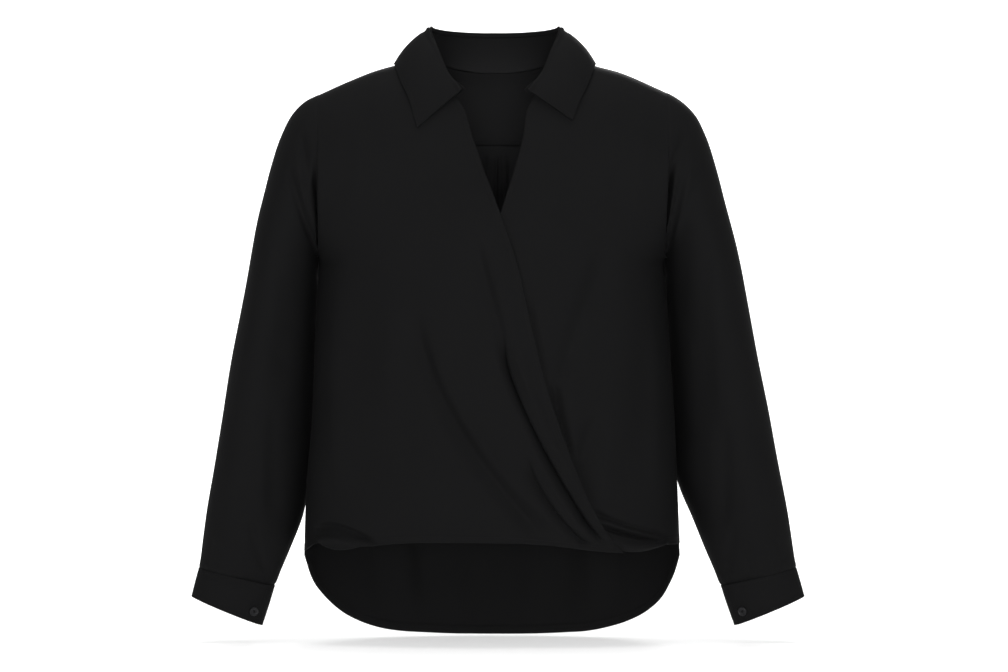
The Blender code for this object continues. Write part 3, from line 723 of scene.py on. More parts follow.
# %% [markdown]
# ## Black crepe
# The blouse is a matt black polyester crepe. Crepe yarn is twisted hard, so the plain
# weave crinkles and scatters the light: it looks deep black from the front and a little
# paler where it turns away. Here the yarns are two crossed sine waves in the UV map,
# bent by noise, with a fine pebbly grain on top. Colour and roughness change slowly,
# like clouds, with a little of the grain in the colour.

# %% Crepe finish
YARN_PITCH = 0.55 * MM


def crepe(name, deep, pale, rough, bump):
    recipe = Recipe(name)
    place = recipe.node("ShaderNodeUVMap", {"uv_map": "cloth"})
    across, down = recipe.axis(place, "X"), recipe.axis(place, "Y")
    twist = recipe.noise(place, 420.0)
    grain = recipe.noise(place, 1500.0, 3.0)
    cloud = recipe.noise(place, 14.0, 3.0)
    pace = 2 * np.pi / YARN_PITCH
    warp = ((across + twist * YARN_PITCH * 1.4) * pace).sine()
    weft = ((down + twist * YARN_PITCH * 1.1) * pace).sine()
    height = warp * weft * 0.35 + grain * 1.3
    tone = cloud * 0.7 + grain * 0.3
    return recipe.finish({
        "Base Color": recipe.blend(tone, deep, pale),
        "Roughness": rough - 0.05 + cloud * 0.1,
        "Specular IOR Level": 0.04,
        "Sheen Weight": 0.004,
        "Sheen Roughness": 0.45,
        "Normal": recipe.bump(height, bump, 0.12 * MM),
    })


def thread_finish(name):
    recipe = Recipe(name)
    place = recipe.node("ShaderNodeTexCoord", None, None, out="Object")
    strand = recipe.noise(place, 2600.0)
    return recipe.finish({
        "Base Color": recipe.blend(strand, (0.004, 0.004, 0.0042, 1), (0.007, 0.007, 0.0074, 1)),
        "Roughness": 0.6 + strand * 0.1,
        "Specular IOR Level": 0.08,
    })


CREPE = crepe("black_crepe_cloth", (0.0046, 0.0046, 0.0048, 1), (0.0064, 0.0064, 0.0066, 1),
              0.7, 0.25)
THREAD = thread_finish("black_thread")
print("finishes:", CREPE.name, THREAD.name)

# %% [markdown]
# ## The two fronts
# The wearer's right front lies on top. A band along its edge stands up like a soft
# pleat, and the drapes run down and across into the wearer's left side seam. The other
# front lies below, and its hem is gathered into a twisted roll at the side. First come
# their creases, read off the photograph one by one.

# %% Creases of the fronts
LAYER_LIFT = 3.2 * MM
LIFT_FROM = 70 * MM
LIFT_OVER = 40 * MM
LAYER_SINK = 9 * MM
SINK_OVER = 26 * MM
SINK_TOP = -160 * MM
SLACK = 0.8 * MM
CROSSING_TOP = -130 * MM
CROSSING_FULL = -175 * MM
HEM_DEPTH = 9 * MM
EDGE_DEPTH = 6 * MM
OVER_FINE = ((0.9, 1.1), (0.76, 1.1))
UNDER_FINE = ((0.87, 1.1), NO_STRETCH)
DRAW_TOP = -105 * MM
DRAW_DEPTH = 19 * MM

OVER_CREASES = table(
    Crease,
    (-24, -215, 4, -320, 38, -424, -4.2, 11, 6),
    (10, -338, 50, -450, 134.8, -594, -9, 9, 2.2, 5.4),
    (20, -346, 63, -458, 138, -592, 2.6, 3, 9),
    (70, -470, 100, -530, 137, -590, -1.8, 2, 2),
    (37, -482, 72, -548, 118, -595, -5.6, 8, 3, 2.6),
    (46, -478, 84, -545, 124, -591, 1.8, 3, 6),
    (-98, -305, -50, -440, 62, -588, -6.6, 14, 7),
    (-80, -330, -28, -455, 92, -588, 3.6, 7, 13),
    (-10, -455, 22, -520, 60, -575, -2.4, 14, 10),
    (-223, -579, -193, -573, -144, -595, -5.2, 8, 2.6),
    (-222, -591, -192, -589, -150, -597, 5.2, 6, 4.6),
    (-158, -200, -166, -380, -150, -570, -2.4, 20, 26),
    (-124, -300, -130, -430, -112, -560, 1.4, 18, 14),
    (-196, -260, -199, -400, -192, -540, 1.4, 9, 12),
    (-70, -70, -76, -140, -66, -210, -1, 9, 12),
    (-176, -60, -170, -120, -182, -190, 1.2, 10, 9),
)
UNDER_CREASES = table(
    Crease,
    (140, -222, 108, -318, 80, -400, -6, 13, 15),
    (122, -290, 106, -350, 92, -400, 2.4, 9, 11),
    (36, -285, 47, -345, 62, -405, -4.5, 6, 8),
    (70, -385, 82, -452, 99, -512, -9, 6, 7.5),
    (130, -430, 107, -494, 114, -552, -5.4, 9, 13),
    (148, -450, 134, -500, 146, -540, 2.2, 13, 15),
    (116, -550, 158, -571, 212, -584, -5.6, 9, 3.6),
    (122, -561, 164, -577, 205, -588, 5.6, 4, 4.4),
    (124, -571, 168, -584, 206, -591, -4.8, 2.8, 2.8),
    (134, -588, 172, -598, 214, -594, 7.5, 6, 8),
    (176, -230, 182, -360, 172, -520, -2.4, 18, 20),
    (196, -300, 200, -420, 196, -540, 1.4, 9, 9),
    (150, -60, 142, -120, 156, -190, -1.2, 10, 12),
    (176, -62, 180, -120, 172, -180, 1.2, 9, 10),
)
OVER_HEM_SHAPE = OVER_HEM[:1] + table(
    Line,
    (-223, -594.5), (-208, -598.5), (-191, -601.5), (-169, -598), (-146, -594.5),
) + OVER_HEM[4:]
UNDER_HEM_SHAPE = UNDER_HEM[:3] + table(
    Line,
    (135, -593), (150, -600), (164, -603.5), (184, -603), (202, -599), (216, -595.5),
    (231, -596),
)
print(len(OVER_CREASES), "creases on the upper front,", len(UNDER_CREASES), "on the lower")

# %% [markdown]
# ## Making the fronts
# Each front is the CAD's form with the creases, seams and hems laid on. The upper one is
# lifted where they cross and the lower one pressed back, and both are drawn back at the
# armholes.

# %% Fronts
def side_fade(grid, reach=0.30):
    """Creases die out towards the side seams and the armholes."""
    height = np.minimum(grid[..., 2], ARM_MIDDLE)
    return ease((np.pi / 2 - np.abs(turn_at(grid[..., 0], height))) / reach)


def past_edge(grid):
    """How far a place lies beyond the free edge of the upper front."""
    z = np.minimum(grid[..., 2], ARM_MIDDLE)
    return grid[..., 0] - edge_place(OVER_EDGE, np.full_like(z, np.pi / 2), z)


def armhole_draw(z, distance, reach=3.5 * MM):
    """The armhole seam is drawn back between body and sleeve, most above the underarm."""
    share = ease((DRAW_TOP - z) / (60 * MM)) * ease((z - UNDERARM - 3 * MM) / (22 * MM))
    share = share * bell(distance, reach)
    return np.array([0.0, DRAW_DEPTH, 0.0]) * share[..., None]


def front_surface(edge, hem, side, crowd, fine):
    """The relaxed panel of one front, its directions out and its borders."""
    grid, border = refine(front_grid(edge, hem, side, crowd), fine=fine)
    grid = relax(grid)
    return grid, outward(grid, (0, -1, 0)), border


def front_relief(creases, grid, seed):
    """What the creases and the slack of the cloth do to a front."""
    x, z = grid[..., 0], grid[..., 2]
    return crease_relief(creases, x, z) + uneven(x, z, 75 * MM, seed) * SLACK


def front_seams(grid, border, move, seed):
    """Adds the seams and the two hems of a front to its move."""
    move = move + seam_dip(border.top) + seam_dip(border.left)
    return (move + hem_band(border.bottom, HEM_DEPTH, grid[..., 0], seed)
            + hem_band(border.right, EDGE_DEPTH, grid[..., 2], seed + 1))


def front_over_panel():
    grid, out, border = front_surface(OVER_EDGE, OVER_HEM_SHAPE, -1, 0.35, OVER_FINE)
    x, z = grid[..., 0], grid[..., 2]
    crossing = ease((CROSSING_TOP - z) / (CROSSING_TOP - CROSSING_FULL))
    lift = LAYER_LIFT * ease((LIFT_FROM + past_edge(grid)) / LIFT_OVER) * crossing
    move = lift + front_relief(OVER_CREASES, grid, 3) * side_fade(grid)
    move = front_seams(grid, border, move, 4)
    grid = grid + out * move[..., None] + crease_lap(OVER_CREASES, x, z)
    return grid + armhole_draw(z, border.left)


def front_under_panel():
    grid, out, border = front_surface(UNDER_EDGE, UNDER_HEM_SHAPE, 1, -0.15, UNDER_FINE)
    z = grid[..., 2]
    beyond = past_edge(grid)
    sink = -LAYER_SINK * ease(-beyond / SINK_OVER) * ease((SINK_TOP - z) / (25 * MM))
    shown = ease((beyond + 5 * MM) / (10 * MM))
    move = sink + front_relief(UNDER_CREASES, grid, 7) * side_fade(grid, 0.22) * shown
    move = front_seams(grid, border, move, 8)
    return grid + out * move[..., None] + armhole_draw(z, border.left)


def front_piece(name, grid):
    out = outward(grid, (0, -1, 0))
    strips = [
        turned_under(grid, out, "bottom", HEM_DEPTH, end=HEM_DEPTH),
        turned_under(grid, out, "right", EDGE_DEPTH, end=HEM_DEPTH),
        tucked_in(grid, out, "top"),
    ]
    return cloth_piece(name, [grid] + strips, CREPE)


over_grid = front_over_panel()
under_grid = front_under_panel()
front_over = front_piece("front_over_cloth", over_grid)
front_under = front_piece("front_under_cloth", under_grid)

# %% [markdown]
# ## Back and yoke
# The back hangs from a yoke. Under the yoke seam the spare width goes into a box pleat
# with a few small gathers beside it, and the hem is a long curve. Both pieces share the
# columns of the body, so their seams meet.

# %% Back and yoke
YOKE_SEAM = 75.0
YOKE_SEAM_HALF_GAP = 0.09
BACK_FINE = ((-0.1, 0.18), (0.44, 0.59))
BACK_STEP = 3.4 * MM
NECK_HALF = 84 * MM
PLEAT_HALF = 14 * MM
PLEAT_SIDE = 5.4 * MM
PLEAT_DEPTH = 5 * MM
PLEAT_TOP = -98 * MM
PLEAT_FULL = -130 * MM
PLEAT_END = -460 * MM
BACK_COLUMNS = [0, 14, 19.4, 36.7, 60.4, 74.6, 84, 108, 134, 158, 179, 196, 208]
NeckSeam = namedtuple("NeckSeam", "across arch")
BACK_NECK = table(
    NeckSeam,
    (0, 36.5), (28, 35.2), (56, 29.5), (74, 18.5), (84, 0),
)
BACK_CREASES = table(
    Crease,
    (-118, -170, -126, -400, -108, -690, -4, 18, 13),
    (-98, -260, -102, -450, -86, -690, 2.4, 14, 16),
    (98, -200, 112, -430, 124, -690, -4.4, 14, 19),
    (76, -320, 84, -480, 92, -700, 2, 14, 12),
    (-50, -340, -40, -520, -54, -712, -2.6, 16, 18),
    (38, -400, 50, -560, 42, -712, -2.6, 17, 14),
    (168, -190, 158, -330, 168, -480, -2.6, 13, 16),
    (-172, -200, -162, -360, -172, -510, -2.6, 16, 13),
    (-150, -430, -158, -540, -148, -680, 1.6, 13, 13),
    (158, -480, 150, -570, 162, -680, 1.4, 13, 13),
    (-8.2, -104, -9, -140, -11, -200, -2, 2, 2.4),
    (2, -104, 1.4, -145, 0.4, -215, -2.4, 2.2, 1.8),
    (8.8, -104, 9.6, -130, 11.2, -180, -1.6, 1.8, 2.2),
    (15, -104, 16, -126, 18, -160, -1.3, 2.2, 2),
    (-27, -108, -29, -150, -33, -205, -1.6, 2.6, 3.2),
    (-35, -108, -38, -135, -44, -172, -1, 2.2, 3),
    (26, -108, 29, -146, 35, -190, -1.3, 3, 2.4),
    (36, -108, 38, -130, 41, -158, -0.9, 2.8, 2.2),
    (-3.4, -104, -3.8, -132, -4.4, -170, -1.4, 1.8, 2.2),
)
YOKE_CREASES = table(
    Crease,
    (-150, -30, -120, -60, -96, -90, -1, 12, 10),
    (146, -34, 118, -64, 102, -92, -0.9, 12, 12),
)


def back_turns():
    """Turns of the columns of the back and yoke, from armhole to armhole."""
    places = np.array(BACK_COLUMNS) * MM
    turns = turn_at(np.concatenate([-places[:0:-1], places]), ARM_MIDDLE)
    return np.concatenate([[-np.pi / 2], turns, [np.pi / 2]])


def back_base():
    rows, height_at = body_rows(90, 13, TAIL_HEM)
    turn = back_turns()
    grid = [torso_point(1, turn, np.radians(YOKE_SEAM + YOKE_SEAM_HALF_GAP), ARM_MIDDLE)]
    for number, (arch, height, _) in enumerate(rows):
        across = torso_point(1, turn, arch, height)[..., 0]
        for _ in range(3):
            level = height_at(number, across)
            across = torso_point(1, turn, arch, level)[..., 0]
        grid.append(torso_point(1, turn, arch, level))
    return np.array(grid)


def back_neck_arch(x):
    arch = looked_up(BACK_NECK, "across", np.abs(x), "arch", 1)
    return np.radians(np.where(np.abs(x) >= NECK_HALF - 1e-5, 0.0, np.clip(arch, 0, 90)))


def yoke_base():
    turn = back_turns()
    low = np.radians(YOKE_SEAM - YOKE_SEAM_HALF_GAP)
    across = torso_point(1, turn, low, ARM_MIDDLE)[..., 0]
    high = back_neck_arch(across)
    steps = np.arange(0, YOKE_SEAM + 1, ARM_STEP) / YOKE_SEAM
    return np.array([torso_point(1, turn, high + (low - high) * step, ARM_MIDDLE)
                     for step in steps])


def back_panel():
    grid, border = refine(back_base(), BACK_STEP, fine=BACK_FINE)
    grid = relax(grid)
    out = outward(grid, (0, 1, 0))
    x, z = grid[..., 0], grid[..., 2]
    seam_x = np.abs(grid[:1, :, 0])
    rise = ease((PLEAT_TOP - z) / (PLEAT_TOP - PLEAT_FULL)) * ease((z - PLEAT_END) / 0.25)
    pleat = PLEAT_DEPTH * rise * ease((PLEAT_HALF + PLEAT_SIDE - seam_x) / PLEAT_SIDE)
    move = crease_relief(BACK_CREASES, x, z) + uneven(x, z, 90 * MM, 11) * 0.6 * MM
    move = pleat + move * side_fade(grid)
    for distance in (border.top, border.left, border.right):
        move = move + seam_dip(distance)
    move = move + hem_band(border.bottom, HEM_DEPTH, x, 12)
    return grid + out * move[..., None]


def yoke_panel():
    grid, border = refine(yoke_base())
    out = outward(grid, (0, 1, 1))
    x, z = grid[..., 0], grid[..., 2]
    move = crease_relief(YOKE_CREASES, x, z) + uneven(x, z, 60 * MM, 13) * 0.3 * MM
    move = move * side_fade(grid)
    for distance in border:
        move = move + seam_dip(distance)
    return grid + out * move[..., None]


back_grid = back_panel()
back_out = outward(back_grid, (0, 1, 0))
back = cloth_piece("back_cloth", [
    back_grid,
    turned_under(back_grid, back_out, "bottom", HEM_DEPTH),
    tucked_in(back_grid, back_out, "top"),
], CREPE)
yoke_grid = yoke_panel()
yoke_out = outward(yoke_grid, (0, 1, 1))
yoke = cloth_piece("yoke_cloth", [yoke_grid], CREPE)

# %% [markdown]
# ## The collar
# A shirt collar is a stand on the neck seam and a leaf that folds over it into two
# points. The table follows the collar from the middle of the back to its front end: the
# foot of the stand, the crest of the fold and the outer edge of the leaf. The leaf is
# stiffened cloth, so it is thicker, and its seamed edges are rounded.

# %% Collar
COLLAR_CLOTH = 1.5 * MM
COLLAR_TIP_LEFT_ARCH = 64.3
LEAF_LIFT = 2.2 * MM
LEAF_BULGE = 4 * MM
STAND_BELOW_CREST = 4.5 * MM
STAND_INSIDE = 1.5 * MM
Collar = namedtuple("Collar", "foot_x foot_arch crest_x crest_y crest_z edge_x edge_arch")
COLLAR = table(
    Collar,
    (0, -36.5, 0, 66, 43, 0, -44),
    (14, -36.3, 16, 65.5, 43, 20, -44),
    (19.4, -36, 23, 64.5, 43.1, 29, -43.7),
    (36.7, -34, 42, 59, 43.6, 56, -42),
    (60.4, -27.9, 66, 42, 45, 92, -33),
    (74.6, -18, 78, 25, 46.2, 113, -17),
    (84, 0, 84, 4, 46.8, 125, 0),
    (82.8, 7.5, 82.6, -9, 41.5, 124, 12),
    (81, 15, 79.5, -22, 34, 121, 24),
    (76, 30, 71, -42, 18, 115, 38),
    (62.5, 45, 59, -62, -11, 106, 50),
    (42.5, 53.5, 41, -85, -36, 95, 68.2),
)
Bend = namedtuple("Bend", "up out")
CREST_BENDS = table(Bend, (-4, -1.5), (-2, -1.5), (-0.6, -1.1), (0, 0), (-0.7, 1.2), (-2.3, 1.8))


def collar_lines():
    """Foot, crest and outer edge of the collar from the right end round to the left end,
    with the directions up the stand and out of the neck."""
    places = []
    for number, row in enumerate(COLLAR):
        for side in (-1, 1) if number else (-1,):
            behind = 1 if row.foot_arch < 0 else -1
            foot_arch = np.radians(abs(row.foot_arch))
            foot_x = row.foot_x * MM * side
            if behind < 0 < row.foot_arch:
                edge = OVER_EDGE if side < 0 else UNDER_EDGE
                foot_x = float(edge_place(edge, foot_arch, ON_SHOULDER))
            foot = torso_point(behind, turn_at(foot_x, ARM_MIDDLE), foot_arch, ARM_MIDDLE)
            arch = row.edge_arch
            if side > 0 and number == len(COLLAR) - 1:
                arch = COLLAR_TIP_LEFT_ARCH
            turn = turn_at(row.edge_x * MM * side, ARM_MIDDLE)
            around = 1 if arch < 0 else -1
            place = torso_point(around, turn, np.radians(abs(arch)), ARM_MIDDLE)
            near = torso_point(around, turn, np.radians(abs(arch) + 0.5), ARM_MIDDLE)
            beside = torso_point(around, turn + 0.01, np.radians(abs(arch)), ARM_MIDDLE)
            out = unit(np.cross(beside - place, near - place))
            if out[2] < 0 or (abs(arch) > 60 and out[1] * around < 0):
                out = -out
            crest = np.array([row.crest_x * side, row.crest_y, row.crest_z]) * MM
            places.append((side * number, foot, crest, place + out * LEAF_LIFT))
    places.sort(key=lambda place: place[0])
    feet, crests, edges = (np.array([place[part] for place in places]) for part in (1, 2, 3))
    along = unit(np.gradient(crests, axis=0))
    up = crests - feet
    up = unit(up - along * np.sum(up * along, axis=1, keepdims=True))
    out = np.cross(up, along)
    out *= np.sign(np.sum(out * (edges - crests), axis=1, keepdims=True))
    return feet, crests, edges, up, out


def stand_base():
    feet, crests, _, up, out = collar_lines()
    top = crests - up * STAND_BELOW_CREST - out * STAND_INSIDE
    bottom = feet + unit(top - feet) * NECK_GAP
    return np.array([bottom + (top - bottom) * step + out * 0.5 * MM * np.sin(np.pi * step)
                     for step in (0.0, 0.35, 0.7, 1.0)])


def leaf_base():
    _, crests, edges, up, out = collar_lines()
    rows = [crests + up * bend.up * MM + out * bend.out * MM for bend in CREST_BENDS]
    start = rows[-1]
    flat_ends = np.ones((len(crests), 1))
    flat_ends[[0, -1]] = 0.2
    flat_ends[[1, -2]] = 0.7
    for step in (0.18, 0.38, 0.58, 0.79, 1.0):
        puff = (out * 0.8 + up * 0.6) * LEAF_BULGE * np.sin(np.pi * step) * flat_ends
        rows.append(start + (edges - start) * step + puff)
    return np.array(rows)


def edge_seam(border, names, reach):
    """A stitched edge: the layers swell a little between the seam and the stitches."""
    move = 0.0
    for name in names:
        distance = getattr(border, name)
        move = move - 0.22 * MM * bell(distance - reach, MM)
    return move


stand_grid, _ = refine(stand_base(), 2.2 * MM)
neck_middle = np.array([0.0, -10.0, 20.0]) * MM
stand_out = outward(stand_grid, stand_grid - neck_middle)
stand = cloth_piece("collar_stand_cloth", [
    stand_grid,
    tucked_in(stand_grid, stand_out, "bottom", 6 * MM, 1.2 * MM, 0.0),
], CREPE, 1.3 * MM, 0.3 * MM)

leaf_grid, leaf_border = refine(leaf_base(), 2.2 * MM, 1.5 * MM)
leaf_out = outward(leaf_grid, leaf_grid - neck_middle)
leaf_wave = uneven(leaf_grid[..., 0] + leaf_grid[..., 1], leaf_grid[..., 2], 55 * MM, 17)
leaf_wave = leaf_wave * 0.35 * MM * ease(leaf_border.top / (20 * MM))
leaf_wave = leaf_wave * ease(leaf_border.bottom / (9 * MM))
leaf_wave = leaf_wave + edge_seam(leaf_border, ("bottom", "left", "right"), 5 * MM)
leaf_grid = leaf_grid + leaf_out * leaf_wave[..., None]
leaf = cloth_piece("collar_leaf_cloth", [leaf_grid], CREPE, COLLAR_CLOTH, 0.45 * MM)

# %% [markdown]
# ## Sleeves
# A sleeve is a tube of rings, wide at the armhole and drawn in at the cuff, and it
# hangs close to the body. Each ring is a row of a table. The left arm hangs a little
# further out, so it has its own table of offsets and of creases.

# %% Rings and creases of the sleeves
SleeveRing = namedtuple("SleeveRing", "outer_x outer_z inner_x inner_z depth inner_y clear")
SLEEVE = table(
    SleeveRing,
    (-236, -45.5, 0, -241.5, 71.5, 6, 0.3),
    (-252.5, -62, 0, -244, 71, 15, -0.2),
    (-267, -90, 0, -249, 70.5, 23, -0.6),
    (-279, -126, 0, -257, 70, 27, -1),
    (-290.5, -172, 0, -267, 69, 28, -1.2),
    (-300, -220, 0, -284, 68.5, 30, -1.4),
    (-309, -268, 0, -312, 68, 30, -1.2),
    (-319, -320, 0, -350, 67, 30, -1.2),
    (-331, -382, 0, -402, 65, 30, -1.2),
    (-342, -450, 0, -462, 61, 29, -1.2),
    (-351, -506, -223, -515, 57, 26, -0.8),
    (-359.5, -554, -241, -563, 51, 18, 0),
    (-365, -594, -258.5, -609, 42, 8, 0),
    (-368, -618, -270, -636, 33, 2, 0),
    (-370, -628.7, -275.5, -650.7, 27.5, 0, 0),
)
Hang = namedtuple("Hang", "height out")
LEFT_ARM = table(
    Hang,
    (-40, -3), (-120, -4), (-190, -2.5), (-270, 0), (-420, 1), (-500, 4.5), (-570, 5.5),
    (-625, 6.5), (-700, 8.5),
)
CUFF_RINGS = table(
    SleeveRing,
    (-369.8, -628.2, -275.3, -650.2, 27.5, 0, 0),
    (-374.5, -646, -283, -675.5, 27, 0, 0),
    (-379, -664, -291, -700, 26.5, 0, 0),
)
RIGHT_ARM_CREASES = table(
    Crease,
    (-240, -84, -232, -140, -219, -214, -4.2, 5, 7),
    (-256, -126, -243, -172, -224, -222, -3.8, 5, 7),
    (-248, -104, -238, -156, -222, -218, 2.2, 5, 5),
    (-266, -180, -262, -300, -268, -420, -2, 12, 16),
    (-292, -150, -300, -300, -318, -470, 1.4, 11, 15),
    (-272, -420, -276, -490, -276, -560, -2.6, 9, 11),
    (-302, -565, -296, -600, -284, -632, -2.6, 7, 5),
    (-326, -480, -330, -540, -338, -610, 1.3, 9, 9),
    (-352, -590, -354, -606, -360, -624, -1.2, 3, 4),
    (-339, -596, -342, -612, -346, -628, -1, 3, 3),
    (-318, -606, -320, -620, -323, -634, -0.9, 3, 3.5),
    (-288, -340, -262, -368, -240, -380, -1.2, 12, 9),
)
LEFT_ARM_CREASES = table(
    Crease,
    (-236, -84, -226, -112, -212, -142, -3.2, 5, 6),
    (-233, -138, -222, -188, -212, -228, -4.2, 5, 7),
    (-246, -104, -236, -160, -222, -222, 2.4, 6, 5),
    (-264, -200, -260, -310, -266, -430, -2, 12, 16),
    (-290, -170, -304, -310, -322, -450, 1.3, 12, 13),
    (-280, -440, -286, -510, -280, -580, -2.8, 9, 12),
    (-312, -500, -318, -560, -330, -622, 1.5, 9, 10),
    (-296, -572, -292, -604, -288, -636, -1.8, 6, 5),
    (-350, -588, -354, -604, -360, -622, -1.6, 4, 4),
    (-336, -600, -340, -614, -343, -630, -0.9, 3, 3),
    (-312, -608, -314, -622, -318, -634, -0.8, 3, 3),
    (-300, -330, -270, -352, -244, -360, -1, 11, 11),
)
print("a sleeve has", len(SLEEVE), "rings below its armhole")

# %% [markdown]
# ## Making the sleeves
# The first ring is the armhole of the body itself. Creases run from there down the inside
# of the arm, and the fullness ends in small gathers above the cuff, where the last
# stretch of cloth rises and falls with the layers of the cuff.

# %% Sleeves
def left_out(height):
    return looked_up(LEFT_ARM, "height", height, "out")


def ring_ends(row, side):
    """Outer and inner end of a ring, the inner one just clear of the side of the body."""
    outer = np.array([-side * row.outer_x, 0.0, row.outer_z]) * MM
    inner = np.array([-side * row.inner_x, row.inner_y, row.inner_z]) * MM
    body = side_width(side, inner[2])
    if side > 0:
        outer[0] += left_out(outer[2])
        inner[0] += left_out(inner[2])
    if abs(inner[0]) < body + row.clear * MM:
        inner[0] = side * (body + row.clear * MM)
    return outer, inner


def ring_points(row, turns, side):
    """A ring of a sleeve or cuff, turned from its outer end over the front."""
    outer, inner = ring_ends(row, side)
    middle = (outer + inner) / 2
    turns = np.asarray(turns)[:, None]
    forward = np.array([0, -row.depth * MM, 0])
    return middle + (outer - middle) * np.cos(turns) + forward * np.sin(turns)


def armhole_ring(side):
    """Where the sleeve starts: the armhole of the body, moved out by the seam."""
    ring = []
    for degree in np.arange(0, 360, ARM_STEP):
        around = -1 if degree <= 180 else 1
        angle = np.radians(degree if degree <= 180 else 360 - degree)
        below = ARM_MIDDLE + ARM_DROP * np.cos(angle)
        height = ON_SHOULDER if angle < np.pi / 2 - 1e-6 else below
        point = torso_point(around, side * np.pi / 2, min(angle, np.pi / 2), height)
        if degree in (0, 180):
            point[1] = 0.0
        low = ease(-np.cos(angle))
        point[0] += side * (ARMHOLE_GAP + (UNDERARM_GAP - ARMHOLE_GAP) * low)
        ring.append(point)
    return np.array(ring)


GATHERS = 34
GATHER_RISE = 0.42 * MM
SLEEVE_END_SINK = 0.92 * MM
CUFF_COURSE = np.array([0.27, 0.0, -0.963])
CUFF_LAYER = 2 * MM


def cuff_lift(grid, centre):
    """The sleeve rises with the cuff towards its upper end and falls back under it."""
    last = SLEEVE[-1]
    half = (last.inner_x - last.outer_x) / 2 * MM
    across = (np.abs(grid[..., 0]) - np.abs(centre[..., 0])) / half
    degrees = np.degrees(np.arctan2(-grid[..., 1] / (last.depth * MM), across))
    return CUFF_LAYER * ease((degrees - 10) / 85) * (1 - ease((degrees - 80) / 30))


def sleeve_panel(side, creases, seed):
    turns = np.radians(np.arange(0, 360, ARM_STEP))
    rings = [armhole_ring(side)] + [ring_points(row, turns, side) for row in SLEEVE]
    grid, border = refine(np.array(rings), around=True)
    centre = grid.mean(axis=1, keepdims=True)
    out = outward(grid, grid - centre, around=True)
    x, z = -np.abs(grid[..., 0]), grid[..., 2]
    behind = ease((grid[..., 1] - 4 * MM) / (16 * MM))
    move = crease_relief(creases, x, z) * (1 - 0.45 * behind)
    move = move + uneven(x + grid[..., 1] * 0.7, z, 62 * MM, seed) * 0.6 * MM
    start = np.where(move > 0, 22 * MM, 8 * MM)
    free = ease(border.top / start) * ease(border.bottom / (5 * MM))
    inside = np.abs(grid[..., 0]) - side_width(side, z)
    free = free * np.where(move > 0, ease(inside / (14 * MM)), 1.0)
    turn = np.arctan2(grid[..., 1] * side, np.abs(grid[..., 0]) - np.abs(centre[..., 0]))
    gathers = np.sin(turn * GATHERS + np.sin(turn * 5 + seed) * 2.2)
    gathers = gathers * np.exp(-border.bottom / (9 * MM))
    move = move * free + GATHER_RISE * gathers * ease(border.bottom / (2 * MM))
    move = move - SLEEVE_END_SINK * bell(border.bottom, 4 * MM)
    move = move + cuff_lift(grid, centre) * bell(border.bottom, 11 * MM)
    draw = armhole_draw(z, border.top, 9 * MM) * ease(-grid[..., 1:2] / (20 * MM))
    return grid + out * (move + seam_dip(border.top))[..., None] + draw


def sleeve_piece(name, side, creases, seed):
    grid = sleeve_panel(side, creases, seed)
    centre = grid.mean(axis=1, keepdims=True)
    out = outward(grid, grid - centre, around=True)
    strips = [
        tucked_in(grid, out, "top", under=1 * MM),
        tucked_in(grid, out, "bottom", 7 * MM, 0.25 * MM, 0.05, CUFF_COURSE * (side, 1, 1)),
    ]
    for strip in strips:
        strip[:, -1] = strip[:, 0]
    return cloth_piece(name, [grid] + strips, CREPE)


sleeve_right = sleeve_piece("sleeve_right_cloth", -1, RIGHT_ARM_CREASES, 21)
sleeve_left = sleeve_piece("sleeve_left_cloth", 1, LEFT_ARM_CREASES, 25)

# %% [markdown]
# ## Cuffs
# A cuff is a stiffened band that passes over its own start, where the button holds it.
# It is drawn as a ring that rises by one layer before it overlaps, so the two ends lie
# on each other and never in the same place.

# %% Cuffs
CUFF_CLOTH = 1 * MM
CUFF_UNDER_END = 112.0
CUFF_OVER_END = 512.0
CUFF_RISE_FROM = 370.0
CUFF_RISE_TO = 455.0


def cuff_grid(degrees, side):
    """The band of a cuff: it passes over its own start, where the button is."""
    turns = np.radians(degrees)
    rise = CUFF_LAYER * ease((degrees - CUFF_RISE_FROM) / (CUFF_RISE_TO - CUFF_RISE_FROM))
    rows = []
    for row in CUFF_RINGS:
        ring = ring_points(row, turns, side)
        ahead = ring_points(row, turns + 0.01, side) - ring_points(row, turns - 0.01, side)
        outer, inner = ring_ends(row, side)
        out = unit(np.cross(ahead, np.cross(np.array([0, -1.0, 0]), outer - inner)))
        out *= np.sign(np.sum(out * (ring - (outer + inner) / 2), axis=1, keepdims=True))
        rows.append(ring + out * rise[:, None])
    return np.array(rows)


def cuff_panel(side):
    degrees = np.linspace(CUFF_UNDER_END, CUFF_OVER_END, 57)
    grid, border = refine(cuff_grid(degrees, side), 2 * MM)
    centre = grid.mean(axis=1, keepdims=True)
    out = outward(grid, grid - centre)
    move = edge_seam(border, ("top", "bottom", "left", "right"), 4 * MM)
    return grid + out * move[..., None], out


cuff_grids = {side: cuff_panel(side) for side in (-1, 1)}
cuff_right, cuff_left = (
    cloth_piece(name, [cuff_grids[side][0]], CREPE, CUFF_CLOTH, 0.32 * MM)
    for name, side in (("cuff_right_cloth", -1), ("cuff_left_cloth", 1)))

# %% [markdown]
# ## Cuff buttons
# Each cuff closes with one small sewn button, about 11 mm across, turned from dark
# polyester with a raised rim, a dished middle and four holes. Button and holes are made
# about the Z axis, where they are simple, and then set on the cuff.

